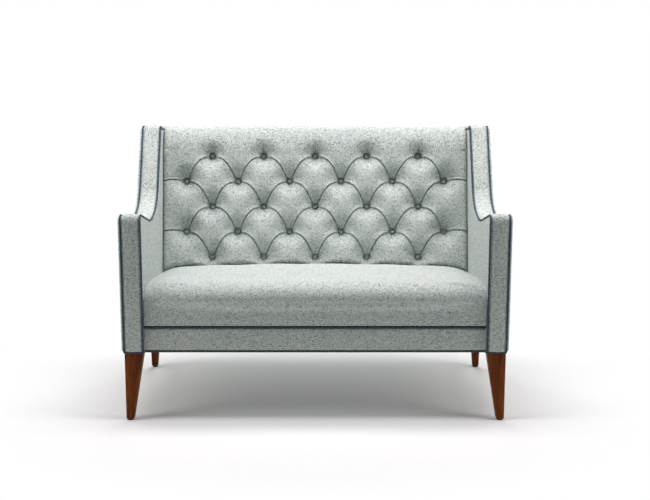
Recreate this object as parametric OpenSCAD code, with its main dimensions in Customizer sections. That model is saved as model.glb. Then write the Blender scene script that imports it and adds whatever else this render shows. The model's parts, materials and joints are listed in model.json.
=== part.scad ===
// High back settee with a fixed sprung seat, a deep buttoned back and piped arms that rise into wings.
// Millimetres, +Z up, the front faces -Y, and the origin is on the floor under the middle of the box.
// Inside the modules y is measured backwards from the line of the piping on the arm fronts.

/* [Overall] */
// Width across the outside arm panels
overall_w = 1330; // [1100:10:1800]
// Depth of the base, from the arm fronts to the back panel
base_d = 640; // [600:5:720]
// Height of the arm at its front corner
arm_h = 718; // [690:1:760]
// Height of the wing tops
wing_h = 959; // [930:1:1000]
// Backward lean of the back panel, in degrees
lean = 12.5; // [9:0.5:16]
// Thickness of a whole arm
arm_t = 80; // [70:1:110]

/* [Arm outline] */
// Radius of the corner at the arm front
front_r = 20; // [14:1:30]
// Fall of the arm top towards the back, in degrees
fall_deg = 14.8; // [8:0.5:18]
// Length of the straight fall, measured along the depth from the front
fall_d = 204; // [150:1:230]
// Radius of the sag in the arm top
sag_r = 336; // [300:1:360]
// Slope of the arm top where the sag ends, in degrees
rise_deg = 20; // [14:1:26]
// Radius of the sweep that turns the arm top up into the wing
sweep_r = 157; // [120:1:175]
// Slope of the front edge of the wing, in degrees
wing_deg = 60.5; // [56:0.5:64]
// Radius of the nose at the top front of the wing
nose_r = 16; // [13:1:24]
// Radius of the corner at the top back of the wing
heel_r = 16; // [13:1:24]
// Drop of the wing top from the nose to the back
wing_fall = 18; // [6:1:22]

/* [Frame] */
// Height of the seat rails and side rails
rail_h = 75; // [60:1:90]
// Thickness of the seat rails
rail_t = 32; // [26:1:38]
// Set back of the front rail behind the piping of the arm fronts
rail_setback = 24; // [20:1:30]
// Depth of the front arm posts
post_d = 60; // [50:1:75]
// Thickness of the padding and cover over the edges of the arm frame
edge_pad = 12; // [9:1:12]
// Height of the arm rails
arm_rail_h = 42; // [30:1:55]
// Depth of the back posts
back_post_d = 55; // [45:1:62]
// Thickness of the rails in the back
back_rail_t = 40; // [32:1:44]
// Height of the top rail and of the lower rail in the back
back_rail_h = 70; // [50:1:90]
// Distance up the back from the frame's underside to the lower rail
lower_rail_s = 160; // [130:5:180]
// Width of each upright in the back
upright_w = 50; // [40:1:70]
// Width of the centre rail under the springs
centre_rail_w = 45; // [35:1:60]
// Height of the centre rail
centre_rail_h = 50; // [40:1:55]
// Leg length of the triangular corner blocks
block_leg = 90; // [60:1:110]
// Height of the corner blocks
block_h = 50; // [40:1:60]
// Diameter of the dowels
dowel_d = 10; // [8:1:12]
// Length of the dowels
dowel_l = 40; // [30:1:40]
// Diameter of the corner block screws
screw_d = 5; // [4:0.5:6]
// Length of the corner block screws
screw_l = 55; // [45:1:60]

/* [Legs] */
// Height of the frame above the floor
leg_h = 239; // [180:1:300]
// Width of a front leg at its top
leg_top_w = 64; // [56:1:68]
// Width of a front leg at its foot
leg_foot_w = 27; // [24:1:40]
// Width of a back leg at its top
back_leg_top_w = 46; // [40:1:52]
// Width of a back leg at its foot
back_leg_foot_w = 24; // [22:1:34]
// Distance that the back legs rake backwards over their height
rake = 48; // [20:1:60]
// Distance that the back legs splay outwards over their height
splay = 14; // [0:1:20]
// Diameter of the bolts that hold the legs
bolt_d = 8; // [6:1:10]
// Length of the leg bolts
bolt_l = 85; // [70:1:90]
// Side of the steel leg plates
plate_w = 34; // [30:1:38]
// Thickness of the leg plates
plate_t = 3; // [2:0.5:4]
// Diameter of the nail glides
glide_d = 20; // [16:1:22]
// Height of the nail glides
glide_h = 5; // [4:0.5:8]
// Diameter of the nail of a glide
glide_nail_d = 4; // [3:0.5:5]
// Length of the nail of a glide
glide_nail_l = 20; // [14:1:25]

/* [Springing] */
// Number of zigzag springs
spring_n = 9; // [5:1:11]
// Wire size of the zigzag springs
wire_d = 3.6; // [3:0.1:4]
// Width of a zigzag spring
spring_w = 50; // [40:1:60]
// Number of bends in each zigzag spring
spring_bends = 22; // [14:2:28]
// Height of the spring clips
clip_h = 6.6; // [6:0.1:9]
// Thickness of the hessian
hessian_t = 1.5; // [1:0.1:2.5]
// Thickness of the felt over the seat hessian
felt_t = 3.9; // [3:0.1:8]
// Thickness of the back webbing
webbing_t = 2; // [1.5:0.1:3]
// Width of a strip of webbing
webbing_w = 60; // [50:1:80]
// Number of strips of webbing
webbing_n = 6; // [4:1:8]
// Thickness of the dust cover
dust_cover_t = 1.5; // [1:0.1:3]

/* [Seat] */
// Height of the seat over its deck, behind the front edge
seat_front_t = 152; // [125:1:170]
// Height of the seat over its deck, at the back
seat_back_t = 117; // [100:1:130]
// Radius of the seat's front edge
seat_nose_r = 44; // [30:1:60]
// Drop of the seat's top from the middle to the arms, at the front
crown_front = 4; // [0:1:12]
// Drop of the seat's top from the middle to the arms, at the back
crown_back = 14; // [0:1:20]
// Width over which the seat rolls down beside the arms
seat_edge_r = 70; // [40:1:100]
// Drop of that roll at the front
roll_front = 8; // [4:1:16]
// Drop of that roll at the back
roll_back = 24; // [12:1:30]
// Swell of the seat's front face
seat_swell = 4; // [0:1:6]
// Depth from the foot of the back pad to the back panel, at the height of the frame's underside
back_foot_d = 126; // [118:1:140]

/* [Buttoned back] */
// Lean of the face of the back pad, in degrees
pad_lean = 13.8; // [11:0.1:17]
// Sideways distance between a button and the next column
col_a = 99; // [90:1:110]
// Distance up the face from the top row to the top of the pad
top_run = 115.5; // [95:0.5:130]
// Number of button rows
rows_n = 5; // [3:2:5]
// Number of button columns on each side of the middle one
side_cols = 5; // [3:2:5]
// Distance up the face from the deck to the lowest row
first_row_s = 140; // [125:1:150]
// Height of the domes between the buttons
dome_h = 32; // [20:1:36]
// Share of that height which is left along the creases, away from the buttons
crease_keep = 0.75; // [0.5:0.05:0.9]
// Stretch of the hollow round a button along the slope
hollow_stretch = 2; // [1.6:0.1:2.4]
// Height to which the seat presses the pad flat where they meet
hidden_h = 24; // [12:1:28]
// Power of the curve that each crease follows from its button down to the next
crease_power = 2.8; // [2:0.1:3.4]
// Arch of the side pleats
pleat_bow = 7; // [0:1:12]
// Drop of the pad's top below the wing tops
pad_drop = 8; // [4:1:20]
// Drop of the roll on the top rail below the wing tops
roll_drop = 24; // [20:1:36]
// Radius of the pad's top front edge
pad_top_r = 26; // [16:1:30]
// Diameter of a covered button
button_d = 20; // [18:1:24]
// Height of a covered button
button_h = 7; // [5:0.5:9]
// Diameter of the twine loop under a button
shank_d = 4; // [3:0.5:6]

/* [Covers and piping] */
// Thickness of the inside arm pad
inside_t = 12; // [8:1:16]
// Thickness of the outside arm panel at its edge
outside_t = 7; // [5:1:9]
// Swell of the outside arm panel past its edge
panel_swell = 10; // [6:1:14]
// Swell of the arm band between its two lines of piping
band_swell = 4; // [2:1:6]
// Thickness of the outside back panel
back_panel_t = 12; // [9:1:14]
// Thickness of the padded front border
border_t = 9; // [6:1:10]
// Diameter of the piping
pipe_d = 6.6; // [5:0.1:7]

/* [Hidden] */
$fn = 64;

// Finishes
fabric_colour = "#AEB8B2";
piping_colour = "#3E5A78";
walnut_colour = "#5A2F17";
beech_colour = "#CBA878";
steel_colour = "#9AA0A4";
jute_colour = "#A98F63";
black_colour = "#2B2B2B";

// Clearances
gap = 0.3;          // soft piece to its seat
pin_gap = 0.1;      // bore wall to a dowel, bolt or nail
over = 1;           // overrun of cuts
pinch = 3;          // least distance kept between two creases where they meet

// Places across the width
half_w = overall_w / 2;
pipe_r = pipe_d / 2;
outer_pipe_x = half_w - panel_swell;
inner_x = half_w - arm_t;
inner_pipe_x = inner_x + pipe_r;
core_in = inner_x + inside_t;
core_out = outer_pipe_x - outside_t;
core_t = core_out - core_in;
cushion_x = inner_x - gap;

// Heights
rail_top = leg_h + rail_h;
deck_z = rail_top + clip_h + hessian_t + felt_t;
base_pipe_z = leg_h + pipe_r + 4 * gap;
skirt_z = base_pipe_z + pipe_r + gap;

// Insets of the layers from the line of the piping
seat_inset = pipe_r + gap;
band_out = -band_swell;

// The back, measured in its own leaning frame: local y forwards is negative, s runs up the slope
back_len = (wing_h - leg_h) / cos(lean) + heel_r;
post_y = -back_panel_t - back_post_d;
back_rail_y = -back_panel_t - back_rail_t;
web_y = back_rail_y - webbing_t;
back_hessian_y = web_y - hessian_t;
pad_rear_y = back_hessian_y - gap;
roll_top_s = (wing_h - roll_drop - leg_h) / cos(lean) + pad_rear_y / 2 * tan(lean);
top_rail_s = roll_top_s - pipe_d * 4 - back_rail_h;

// The face of the back pad, in a frame that leans with it, from the deck behind the seat
seat_d = base_d - back_foot_d;
pad_foot_y = seat_d + hidden_h / cos(pad_lean) + gap;
pad_top_s = (wing_h - pad_drop - deck_z) / cos(pad_lean);
row_b = (pad_top_s - top_run - first_row_s) / (rows_n - 1);

module settle() translate([0, -mid_y, 0]) children();
module leaning() translate([0, base_d, leg_h]) rotate([-lean, 0, 0]) children();
module both_sides() for (m = [0, 1]) mirror([m, 0, 0]) children();

// Extrudes an outline drawn as (depth, height) along x, from x0 for a width of w
module across(x0, w) translate([x0, 0, 0]) rotate([90, 0, 90]) linear_extrude(w) children();

module box(x0, x1, y0, y1, z0, z1) translate([x0, y0, z0]) cube([x1 - x0, y1 - y0, z1 - z0]);

// Side outline of the arm and wing, inset by i from the line of the piping

function on_circle(c, r, a) = c + r * [cos(a), sin(a)];
function arc_points(c, r, a0, a1, n) = [for (j = [0 : n]) on_circle(c, r, a0 + (a1 - a0) * j / n)];
function back_y(z) = base_d + (z - leg_h) * tan(lean);

front_c = [front_r, arm_h - front_r];
fall_start = on_circle(front_c, front_r, 90 - fall_deg);
fall_end = [fall_d, fall_start[1] - (fall_d - fall_start[0]) * tan(fall_deg)];
sag_c = on_circle(fall_end, sag_r, 90 - fall_deg);
sweep_c = on_circle(sag_c, sag_r - sweep_r, rise_deg - 90);
sweep_end = on_circle(sweep_c, sweep_r, wing_deg - 90);
nose_side = on_circle([0, 0], nose_r, wing_deg - 90);
wing_run = (wing_h - nose_r - sweep_end[1] - nose_side[1]) / sin(wing_deg);
nose_c = sweep_end + wing_run * [cos(wing_deg), sin(wing_deg)] + nose_side;
heel_z = wing_h - wing_fall - heel_r;
heel_c = [back_y(heel_z) - heel_r / cos(lean), heel_z];
top_tilt = atan(wing_fall / (heel_c[0] - nose_c[0]));

// Extremes along the depth, and the shift that centres the part on its origin
front_most = band_out;
back_most = heel_c[0] + heel_r + pipe_r;
mid_y = (front_most + back_most) / 2;

function arm_points(i, foot_z) = concat(
    [[i, foot_z]],
    arc_points(front_c, front_r - i, 180, 90 - fall_deg, 6),
    arc_points(sag_c, sag_r + i, -90 - fall_deg, rise_deg - 90, 12),
    arc_points(sweep_c, sweep_r + i, rise_deg - 90, wing_deg - 90, 8),
    arc_points(nose_c, nose_r - i, wing_deg + 90, 90 - top_tilt, 6),
    arc_points(heel_c, heel_r - i, 90 - top_tilt, -lean, 6),
    [[back_y(foot_z) - i / cos(lean), foot_z]]
);

module arm_outline(i, foot_z) polygon(arm_points(i, foot_z));

// Fasteners and their bores

leg_x = core_in + core_t / 2;
front_leg_out = half_w - panel_swell - over;
front_leg_in = front_leg_out - leg_top_w;
front_leg_y = over * 2;
front_bolt = [leg_x, front_leg_y + leg_top_w / 2 + over * 4];
back_leg_x = leg_x + over * 2;
back_leg_y = base_d - back_post_d / 2 - back_panel_t - over * 2;
back_bolt = [leg_x, back_leg_y];
bolt_z = leg_h - bolt_l / 2;

module bolts(extra) both_sides() for (p = [front_bolt, back_bolt])
    translate([p[0], p[1], bolt_z - extra]) cylinder(d = bolt_d + 2 * extra, h = bolt_l + 2 * extra);

// Each seat joint: distance back and height of its dowel
seat_dowel_share = [0.3, 0.7];
front_dowel_y = rail_setback + rail_t / 2;
back_rail_y0 = base_d - back_panel_t - rail_t - over * 4;
back_dowel_y = back_rail_y0 + rail_t / 2;

module dowel(extra) translate([core_in - dowel_l / 2 - extra, 0, 0])
    rotate([0, 90, 0]) cylinder(d = dowel_d + 2 * extra, h = dowel_l + 2 * extra);

module seat_dowels(extra) both_sides() for (y = [front_dowel_y, back_dowel_y], u = seat_dowel_share)
    translate([0, y, leg_h + rail_h * u]) dowel(extra);

module back_dowels(extra) both_sides() leaning() for (s = [lower_rail_s, top_rail_s], u = seat_dowel_share)
    translate([0, back_rail_y + back_rail_t / 2, s + back_rail_h * u]) dowel(extra);

// Hardwood frame

module front_rail() color(beech_colour) settle() difference() {
    box(-core_in, core_in, rail_setback, rail_setback + rail_t, leg_h, rail_top);
    seat_dowels(pin_gap);
    block_screws_at(pin_gap);
}

module back_rail() color(beech_colour) settle() difference() {
    box(-core_in, core_in, back_rail_y0, back_rail_y0 + rail_t, leg_h, rail_top);
    seat_dowels(pin_gap);
    block_screws_at(pin_gap);
}

module side_rail() difference() {
    across(core_in, core_t) intersection() {
        arm_outline(edge_pad, leg_h);
        translate([edge_pad + post_d, leg_h]) square([base_d, rail_h]);
    }
    back_post_body(over);
}
module side_rail_right() color(beech_colour) settle() side_rail();
module side_rail_left() color(beech_colour) settle() mirror([1, 0, 0]) side_rail();

module centre_rail() color(beech_colour) settle()
    box(-centre_rail_w / 2, centre_rail_w / 2, rail_setback + rail_t, back_rail_y0,
        rail_top - centre_rail_h - wire_d * 4, rail_top - wire_d * 4);

// Corner blocks stand between the rails and the side frames
block_z = rail_top - block_h - wire_d * 3;

module corner_block_at(y, turn) translate([core_in, y, block_z])
    mirror([1, 0, 0]) mirror([0, turn, 0]) linear_extrude(block_h)
    polygon([[0, 0], [block_leg, 0], [0, block_leg]]);

module block_screw_at(y, turn, extra) translate([core_in, y, block_z + block_h / 2])
    mirror([1, 0, 0]) mirror([0, turn, 0]) translate([block_leg / 2, block_leg / 4 + extra, 0])
    rotate([90, 0, 0]) cylinder(d = screw_d + 2 * extra, h = block_leg / 4 + screw_l / 2 + 2 * extra);

module block_screws_at(extra) both_sides() {
    block_screw_at(rail_setback + rail_t, 0, extra);
    block_screw_at(back_rail_y0, 1, extra);
}

module corner_blocks() color(beech_colour) settle() difference() {
    both_sides() {
        corner_block_at(rail_setback + rail_t, 0);
        corner_block_at(back_rail_y0, 1);
    }
    block_screws_at(pin_gap);
}

module block_screws() color(steel_colour) settle() block_screws_at(0);

module arm_post() difference() {
    across(core_in, core_t) intersection() {
        arm_outline(edge_pad, leg_h);
        translate([edge_pad, leg_h]) square([post_d, arm_h]);
    }
    seat_dowels(pin_gap);
    bolts(pin_gap);
}
module arm_post_right() color(beech_colour) settle() arm_post();
module arm_post_left() color(beech_colour) settle() mirror([1, 0, 0]) arm_post();

// The arm rail runs level from the front post to the back post, under the outline of the arm top
sag_low = sag_c[1] - sag_r;
arm_rail_top = sag_low + edge_pad / 2;
arm_rail_z = sag_low - edge_pad - arm_rail_h;

module arm_rail() difference() {
    across(core_in, core_t) intersection() {
        arm_outline(edge_pad, leg_h);
        translate([edge_pad + post_d, arm_rail_z]) square([base_d, arm_rail_top - arm_rail_z]);
    }
    back_post_body(over);
}
module arm_rail_right() color(beech_colour) settle() arm_rail();
module arm_rail_left() color(beech_colour) settle() mirror([1, 0, 0]) arm_rail();

module wing_board() difference() {
    across(core_in, core_t) intersection() {
        arm_outline(edge_pad, leg_h);
        translate([fall_d, arm_rail_top]) square([2 * base_d, wing_h]);
    }
    back_post_body(over);
}
module wing_board_right() color(beech_colour) settle() wing_board();
module wing_board_left() color(beech_colour) settle() mirror([1, 0, 0]) wing_board();

// The back post is cut from the arm outline, between the back panel and the post's front
module back_post_body(extra) leaning()
    translate([core_in - extra, post_y, -back_len]) cube([core_t + 2 * extra, back_post_d * 2, 2 * back_len + back_len]);

module back_post() difference() {
    intersection() {
        across(core_in, core_t) arm_outline(edge_pad, leg_h);
        leaning() translate([core_in, post_y, -back_len]) cube([core_t, back_post_d, 3 * back_len]);
    }
    seat_dowels(pin_gap);
    back_dowels(pin_gap);
    bolts(pin_gap);
}
module back_post_right() color(beech_colour) settle() back_post();
module back_post_left() color(beech_colour) settle() mirror([1, 0, 0]) back_post();

module back_cross_rail(s) difference() {
    leaning() translate([-core_in, back_rail_y, s]) cube([2 * core_in, back_rail_t, back_rail_h]);
    back_dowels(pin_gap);
}
module back_top_rail() color(beech_colour) settle() back_cross_rail(top_rail_s);
module back_lower_rail() color(beech_colour) settle() back_cross_rail(lower_rail_s);

module back_uprights() color(beech_colour) settle() leaning()
    for (x = [-core_in / 3, core_in / 3])
        translate([x - upright_w / 2, back_rail_y, lower_rail_s + back_rail_h])
            cube([upright_w, back_rail_t, top_rail_s - lower_rail_s - back_rail_h]);

module dowels() color(beech_colour) settle() {
    seat_dowels(0);
    back_dowels(0);
}

// Legs and their fixings

// A tapered leg: the part common to its front view and its side view
module tapered_leg(front_view, side_view) intersection() {
    translate([0, base_d * 2, 0]) rotate([90, 0, 0]) linear_extrude(base_d * 3) polygon(front_view);
    across(0, overall_w) polygon(side_view);
}

module plate_bed(extra) both_sides() for (p = [front_bolt, back_bolt])
    translate([p[0] - plate_w / 2 - extra, p[1] - plate_w / 2 - extra, leg_h - plate_t])
        cube([plate_w + 2 * extra, plate_w + 2 * extra, plate_t + extra]);

module leg_cuts() {
    bolts(pin_gap);
    plate_bed(pin_gap);
    glide_nails(pin_gap);
}

module front_leg() difference() {
    tapered_leg(
        [[front_leg_out - leg_foot_w, glide_h], [front_leg_out, glide_h],
         [front_leg_out, leg_h], [front_leg_in, leg_h]],
        [[front_leg_y, glide_h], [front_leg_y + leg_foot_w, glide_h],
         [front_leg_y + leg_top_w, leg_h], [front_leg_y, leg_h]]);
    leg_cuts();
}
module leg_front_right() color(walnut_colour) settle() front_leg();
module leg_front_left() color(walnut_colour) settle() mirror([1, 0, 0]) front_leg();

module back_leg() difference() {
    tapered_leg(
        [for (p = [[splay, back_leg_foot_w, -1, glide_h], [splay, back_leg_foot_w, 1, glide_h],
                   [0, back_leg_top_w, 1, leg_h], [0, back_leg_top_w, -1, leg_h]])
            [back_leg_x + p[0] + p[1] / 2 * p[2], p[3]]],
        [for (p = [[rake, back_leg_foot_w, -1, glide_h], [rake, back_leg_foot_w, 1, glide_h],
                   [0, back_leg_top_w, 1, leg_h], [0, back_leg_top_w, -1, leg_h]])
            [back_leg_y + p[0] + p[1] / 2 * p[2], p[3]]]);
    leg_cuts();
}
module leg_back_right() color(walnut_colour) settle() back_leg();
module leg_back_left() color(walnut_colour) settle() mirror([1, 0, 0]) back_leg();

module leg_plates() color(steel_colour) settle() difference() {
    plate_bed(0);
    bolts(pin_gap);
}

module leg_bolts() color(steel_colour) settle() bolts(0);

front_foot = [front_leg_out - leg_foot_w / 2, front_leg_y + leg_foot_w / 2];
back_foot = [back_leg_x + splay, back_leg_y + rake];

module glide_nails(extra) both_sides() for (p = [front_foot, back_foot])
    translate([p[0], p[1], glide_h - over])
        cylinder(d = glide_nail_d + 2 * extra, h = glide_nail_l + over + extra);

module glides() color(black_colour) settle() {
    glide_nails(0);
    both_sides() for (p = [front_foot, back_foot])
        translate([p[0], p[1], 0]) cylinder(d = glide_d, h = glide_h);
}

// Springing

spring_y0 = rail_setback + rail_t / 2;
spring_y1 = back_rail_y0 + rail_t / 2;
spring_pitch = 2 * (cushion_x - spring_w) / (spring_n - 1);
wire_z = rail_top + (clip_h - wire_d) / 2;
clip_w = spring_w * 0.6;
clip_d = wire_d * 3;
bend_y = (spring_y1 - spring_y0 - wire_d) / spring_bends;

module spring_xs() for (j = [0 : spring_n - 1])
    translate([-cushion_x + spring_w + j * spring_pitch, 0, 0]) children();

// One flat zigzag of wire: cross runs joined by short links at alternate ends
module zigzag() for (j = [0 : spring_bends]) {
    translate([-spring_w / 2, spring_y0 + j * bend_y, wire_z]) cube([spring_w, wire_d, wire_d]);
    if (j < spring_bends)
        translate([j % 2 == 0 ? spring_w / 2 - wire_d : -spring_w / 2, spring_y0 + j * bend_y, wire_z])
            cube([wire_d, bend_y + wire_d, wire_d]);
}

module seat_springs() color(steel_colour) settle() spring_xs() zigzag();

module clip(y) difference() {
    translate([-clip_w / 2, y - clip_d / 2, rail_top]) cube([clip_w, clip_d, clip_h]);
    translate([-clip_w / 2 - over, y - wire_d / 2 - pin_gap, wire_z - pin_gap])
        cube([clip_w + 2 * over, wire_d + 2 * pin_gap, wire_d + 2 * pin_gap]);
}

module spring_clips() color(steel_colour) settle() spring_xs() {
    clip(spring_y0 + wire_d / 2);
    clip(spring_y1 - wire_d / 2);
}

hessian_y0 = rail_setback + over * 2;
hessian_y1 = back_rail_y0 - over * 2;

module seat_hessian() color(jute_colour) settle()
    box(-cushion_x, cushion_x, hessian_y0, hessian_y1, rail_top + clip_h, rail_top + clip_h + hessian_t);

module seat_felt() color(black_colour) settle()
    box(-cushion_x, cushion_x, hessian_y0, hessian_y1, rail_top + clip_h + hessian_t, deck_z);

web_pitch = 2 * (core_in - webbing_w) / webbing_n;

module back_webbing() color(jute_colour) settle() leaning() for (j = [0 : webbing_n])
    translate([-core_in + webbing_w - webbing_w / 2 + j * web_pitch, web_y, lower_rail_s])
        cube([webbing_w, webbing_t, top_rail_s + back_rail_h - lower_rail_s]);

module back_hessian() color(jute_colour) settle() leaning()
    translate([-cushion_x, back_hessian_y, lower_rail_s])
        cube([2 * cushion_x, hessian_t, top_rail_s + back_rail_h - lower_rail_s]);

module dust_cover() color(black_colour) settle()
    box(gap - front_leg_in, front_leg_in - gap, rail_setback + over, back_rail_y0 + rail_t - over, leg_h - dust_cover_t, leg_h);

// Padded forms: a grid of points over the face that shows, closed by a flat back with four corners

function grid_faces(rows, cols) = [
    for (r = [0 : rows - 2], c = [0 : cols - 2])
        let (p = r * cols + c, q = p + cols)
        each [[p, q, p + 1], [p + 1, q, q + 1]]
];

// Fans from two back corners, b0 and b1, to a run of edge points
function edge_faces(run, b0, b1) =
    let (n = len(run), h = floor(n / 2))
    concat(
        [for (j = [0 : h - 1]) [run[j], run[j + 1], b0]],
        [[run[h], b1, b0]],
        [for (j = [h : n - 2]) [run[j], run[j + 1], b1]]
    );

module padded_form(points, rows, cols, corners) {
    k = rows * cols;
    first = [for (c = [0 : cols - 1]) c];
    last = [for (c = [cols - 1 : -1 : 0]) (rows - 1) * cols + c];
    right = [for (r = [0 : rows - 1]) r * cols + cols - 1];
    left = [for (r = [rows - 1 : -1 : 0]) r * cols];
    polyhedron(
        points = concat(points, corners),
        faces = concat(
            grid_faces(rows, cols),
            edge_faces(first, k, k + 1), edge_faces(right, k + 1, k + 2),
            edge_faces(last, k + 2, k + 3), edge_faces(left, k + 3, k),
            [[k, k + 1, k + 2], [k, k + 2, k + 3]]
        ),
        convexity = 6
    );
}

// Seat cushion

seat_pipe_y = rail_setback - border_t + pipe_r - over;
seat_pipe_z = deck_z + pipe_r;
seat_face_y = rail_setback - border_t - pipe_r;
seat_z0 = deck_z + gap;
seat_col_shares = [-1, -0.985, -0.96, -0.9, -0.75, -0.5, -0.25, 0, 0.25, 0.5, 0.75, 0.9, 0.96, 0.985, 1];
seat_top_shares = [0.12, 0.25, 0.4, 0.55, 0.7, 0.85, 1];

// Roll of the seat's top down beside the arms, at a share u of the depth
function edge_roll(x, u) =
    let (t = min(1, max(0, abs(x) - (cushion_x - seat_edge_r)) / seat_edge_r))
    (roll_front + (roll_back - roll_front) * u) * (1 - sqrt(1 - t * t));

function seat_back_y(z) = seat_d + (z - deck_z) * tan(pad_lean) - gap;

// Height of the seat's top at a place across and a share of the depth
function seat_top(x, u) =
    deck_z + seat_front_t + (seat_back_t - seat_front_t) * u
    - (crown_front + (crown_back - crown_front) * u) * pow(abs(x) / cushion_x, 2)
    - edge_roll(x, u);

function seat_line(x) =
    let (
        foot_y = seat_pipe_y + pipe_r + gap * 2,
        nose_top = seat_top(x, 0),
        nose_c = [seat_face_y + seat_nose_r, nose_top - seat_nose_r],
        end_y = seat_back_y(seat_top(x, 1)),
        face_z0 = seat_pipe_z + pipe_d + gap
    )
    concat(
        [[foot_y, seat_z0], [foot_y, seat_pipe_z + pipe_r + 2 * gap]],
        [for (u = [0, 0.33, 0.66])
            [seat_face_y - seat_swell * sin(180 * (0.15 + 0.7 * u)), face_z0 + (nose_c[1] - face_z0) * u]],
        arc_points(nose_c, seat_nose_r, 176, 90, 5),
        [for (u = seat_top_shares) [nose_c[0] + (end_y - nose_c[0]) * u, seat_top(x, u)]]
    );

module seat_cushion() color(fabric_colour) settle() {
    xs = [for (u = seat_col_shares) u * cushion_x];
    lines = [for (x = xs) seat_line(x)];
    rows = len(lines[0]);
    cols = len(xs);
    foot_y = lines[0][0][0];
    padded_form(
        [for (r = [0 : rows - 1], c = [0 : cols - 1]) [xs[c], lines[c][r][0], lines[c][r][1]]],
        rows, cols,
        [[-cushion_x, foot_y + over, seat_z0], [cushion_x, foot_y + over, seat_z0],
         [cushion_x, seat_back_y(seat_z0), seat_z0], [-cushion_x, seat_back_y(seat_z0), seat_z0]]
    );
}

// Buttoned back pad. Row 1 is the top row, and odd rows have a button in the middle.
// A crease leaves each button sideways and arches down to the buttons of the row below.

edge_col_x = side_cols * col_a;
function row_s(k) = first_row_s + (rows_n - k) * row_b;
function off_button(x, k) =
    let (shift = k % 2 == 1 ? 0 : col_a, m = (abs(x) + shift) % (2 * col_a)) min(m, 2 * col_a - m);
function crease_drop(d) = row_b * pow(min(1, d / col_a), crease_power);
function side_run(x) = max(0, abs(x) - edge_col_x) / (cushion_x - edge_col_x);
function crease(x, k) =
    row_s(k) - crease_drop(off_button(min(abs(x), edge_col_x), k)) + pleat_bow * sin(180 * side_run(x));
function push(g) = max(0, pinch - g) / 2;
function crease_s(x, k) = crease(x, k)
    + (k < rows_n ? push(crease(x, k) - crease(x, k + 1)) : 0)
    - (k > 1 ? push(crease(x, k - 1) - crease(x, k)) : 0);

// Distance to the nearest button, and the flat dimple round it
function button_dist(x, s) = min([for (k = [1 : rows_n])
    let (ax = min(abs(x), edge_col_x))
    norm([off_button(ax, k) + abs(x) - ax, (s - row_s(k)) / hollow_stretch])]);
function smooth(t) = let (u = min(1, max(0, t))) u * u * (3 - 2 * u);
dimple_r0 = button_d / 2 + over * 3;
dimple_r1 = col_a / 2;
function dimple(x, s) = smooth((button_dist(x, s) - dimple_r0) / (dimple_r1 - dimple_r0));
function swell(t) = sqrt(4 * t * (1 - t));

// A place on the face: s up the slope, h out of it
function face_point(x, s, h) =
    [x, pad_foot_y + s * sin(pad_lean) - h * cos(pad_lean), deck_z + s * cos(pad_lean) + h * sin(pad_lean)];

// Rolls the pad down beside the wings
function side_roll(x) = let (t = max(0, abs(x) - (cushion_x - dome_h)) / dome_h)
    sqrt(max(0, 1 - 0.75 * t * t));

band_shares = [0, 0.07, 0.5, 0.93];
pad_face_top = pad_top_s - pad_top_r;
foot_shares = [0, 0.5];
top_shares = [0, 0.1, 0.5, 1];

function foot_line(x) = [for (t = foot_shares)
    let (s = gap + (crease_s(x, rows_n) - gap) * t) face_point(x, s, hidden_h)];
// The seat presses the pad flat up to the height at which they meet
function pressed_h(s) = hidden_h + max(0, s - (seat_back_t + 0.6 * row_b) / cos(pad_lean));
function band_line(x, k) = [for (t = band_shares)
    let (
        s0 = crease_s(x, k + 1), s1 = crease_s(x, k), s = s0 + (s1 - s0) * t,
        h = dome_h * (crease_keep + (1 - crease_keep) * swell(t)) * side_roll(x)
    )
    face_point(x, s, min(h * dimple(x, s), pressed_h(s)))];

// Above the top row the pad is divided by upright pleats over the buttons, then rolls back at the top
function pleat_share(x) = min(1, off_button(min(abs(x), edge_col_x), 1) / col_a + side_run(x) * 0.5);
function top_line(x) = concat(
    [for (t = top_shares)
        let (
            s0 = crease_s(x, 1), s = s0 + (pad_face_top - s0) * t,
            full = dome_h * (0.45 + 0.55 * sqrt(pleat_share(x))),
            h = full * sin(90 * sqrt(t)) * side_roll(x)
        )
        face_point(x, s, h * (t == 1 ? 1 : dimple(x, s)))],
    [for (a = [30, 60, 90])
        let (full = dome_h * (0.45 + 0.55 * sqrt(pleat_share(x))) * side_roll(x))
        face_point(x, pad_face_top + pad_top_r * sin(a), full - pad_top_r * (1 - cos(a)))]
);

function pad_line(x) = concat(
    foot_line(x),
    [for (k = [rows_n - 1 : -1 : 1]) each band_line(x, k)],
    top_line(x)
);

cell_shares = [0, 0.13, 0.5, 0.87];
pad_half_xs = concat(
    [for (j = [0 : side_cols - 1], u = cell_shares) (j + u) * col_a],
    [for (u = [0, 0.16, 0.6, 0.88, 1]) edge_col_x + (cushion_x - edge_col_x) * u]
);
pad_xs = concat([for (j = [len(pad_half_xs) - 1 : -1 : 1]) -pad_half_xs[j]], pad_half_xs);

// The back of the pad, in the leaning frame of the rails
function rear_point(x, s) = [x, base_d + pad_rear_y * cos(lean) + s * sin(lean),
                             leg_h - pad_rear_y * sin(lean) + s * cos(lean)];
pad_rear_s0 = (deck_z + gap - leg_h + pad_rear_y * sin(lean)) / cos(lean);
pad_rear_s1 = roll_top_s - over * 2;

module back_cushion() color(fabric_colour) settle() {
    lines = [for (x = pad_xs) pad_line(x)];
    rows = len(lines[0]);
    cols = len(pad_xs);
    padded_form(
        [for (r = [0 : rows - 1], c = [0 : cols - 1]) lines[c][r]],
        rows, cols,
        [rear_point(-cushion_x, pad_rear_s0), rear_point(cushion_x, pad_rear_s0),
         rear_point(cushion_x, pad_rear_s1), rear_point(-cushion_x, pad_rear_s1)]
    );
}

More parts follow.
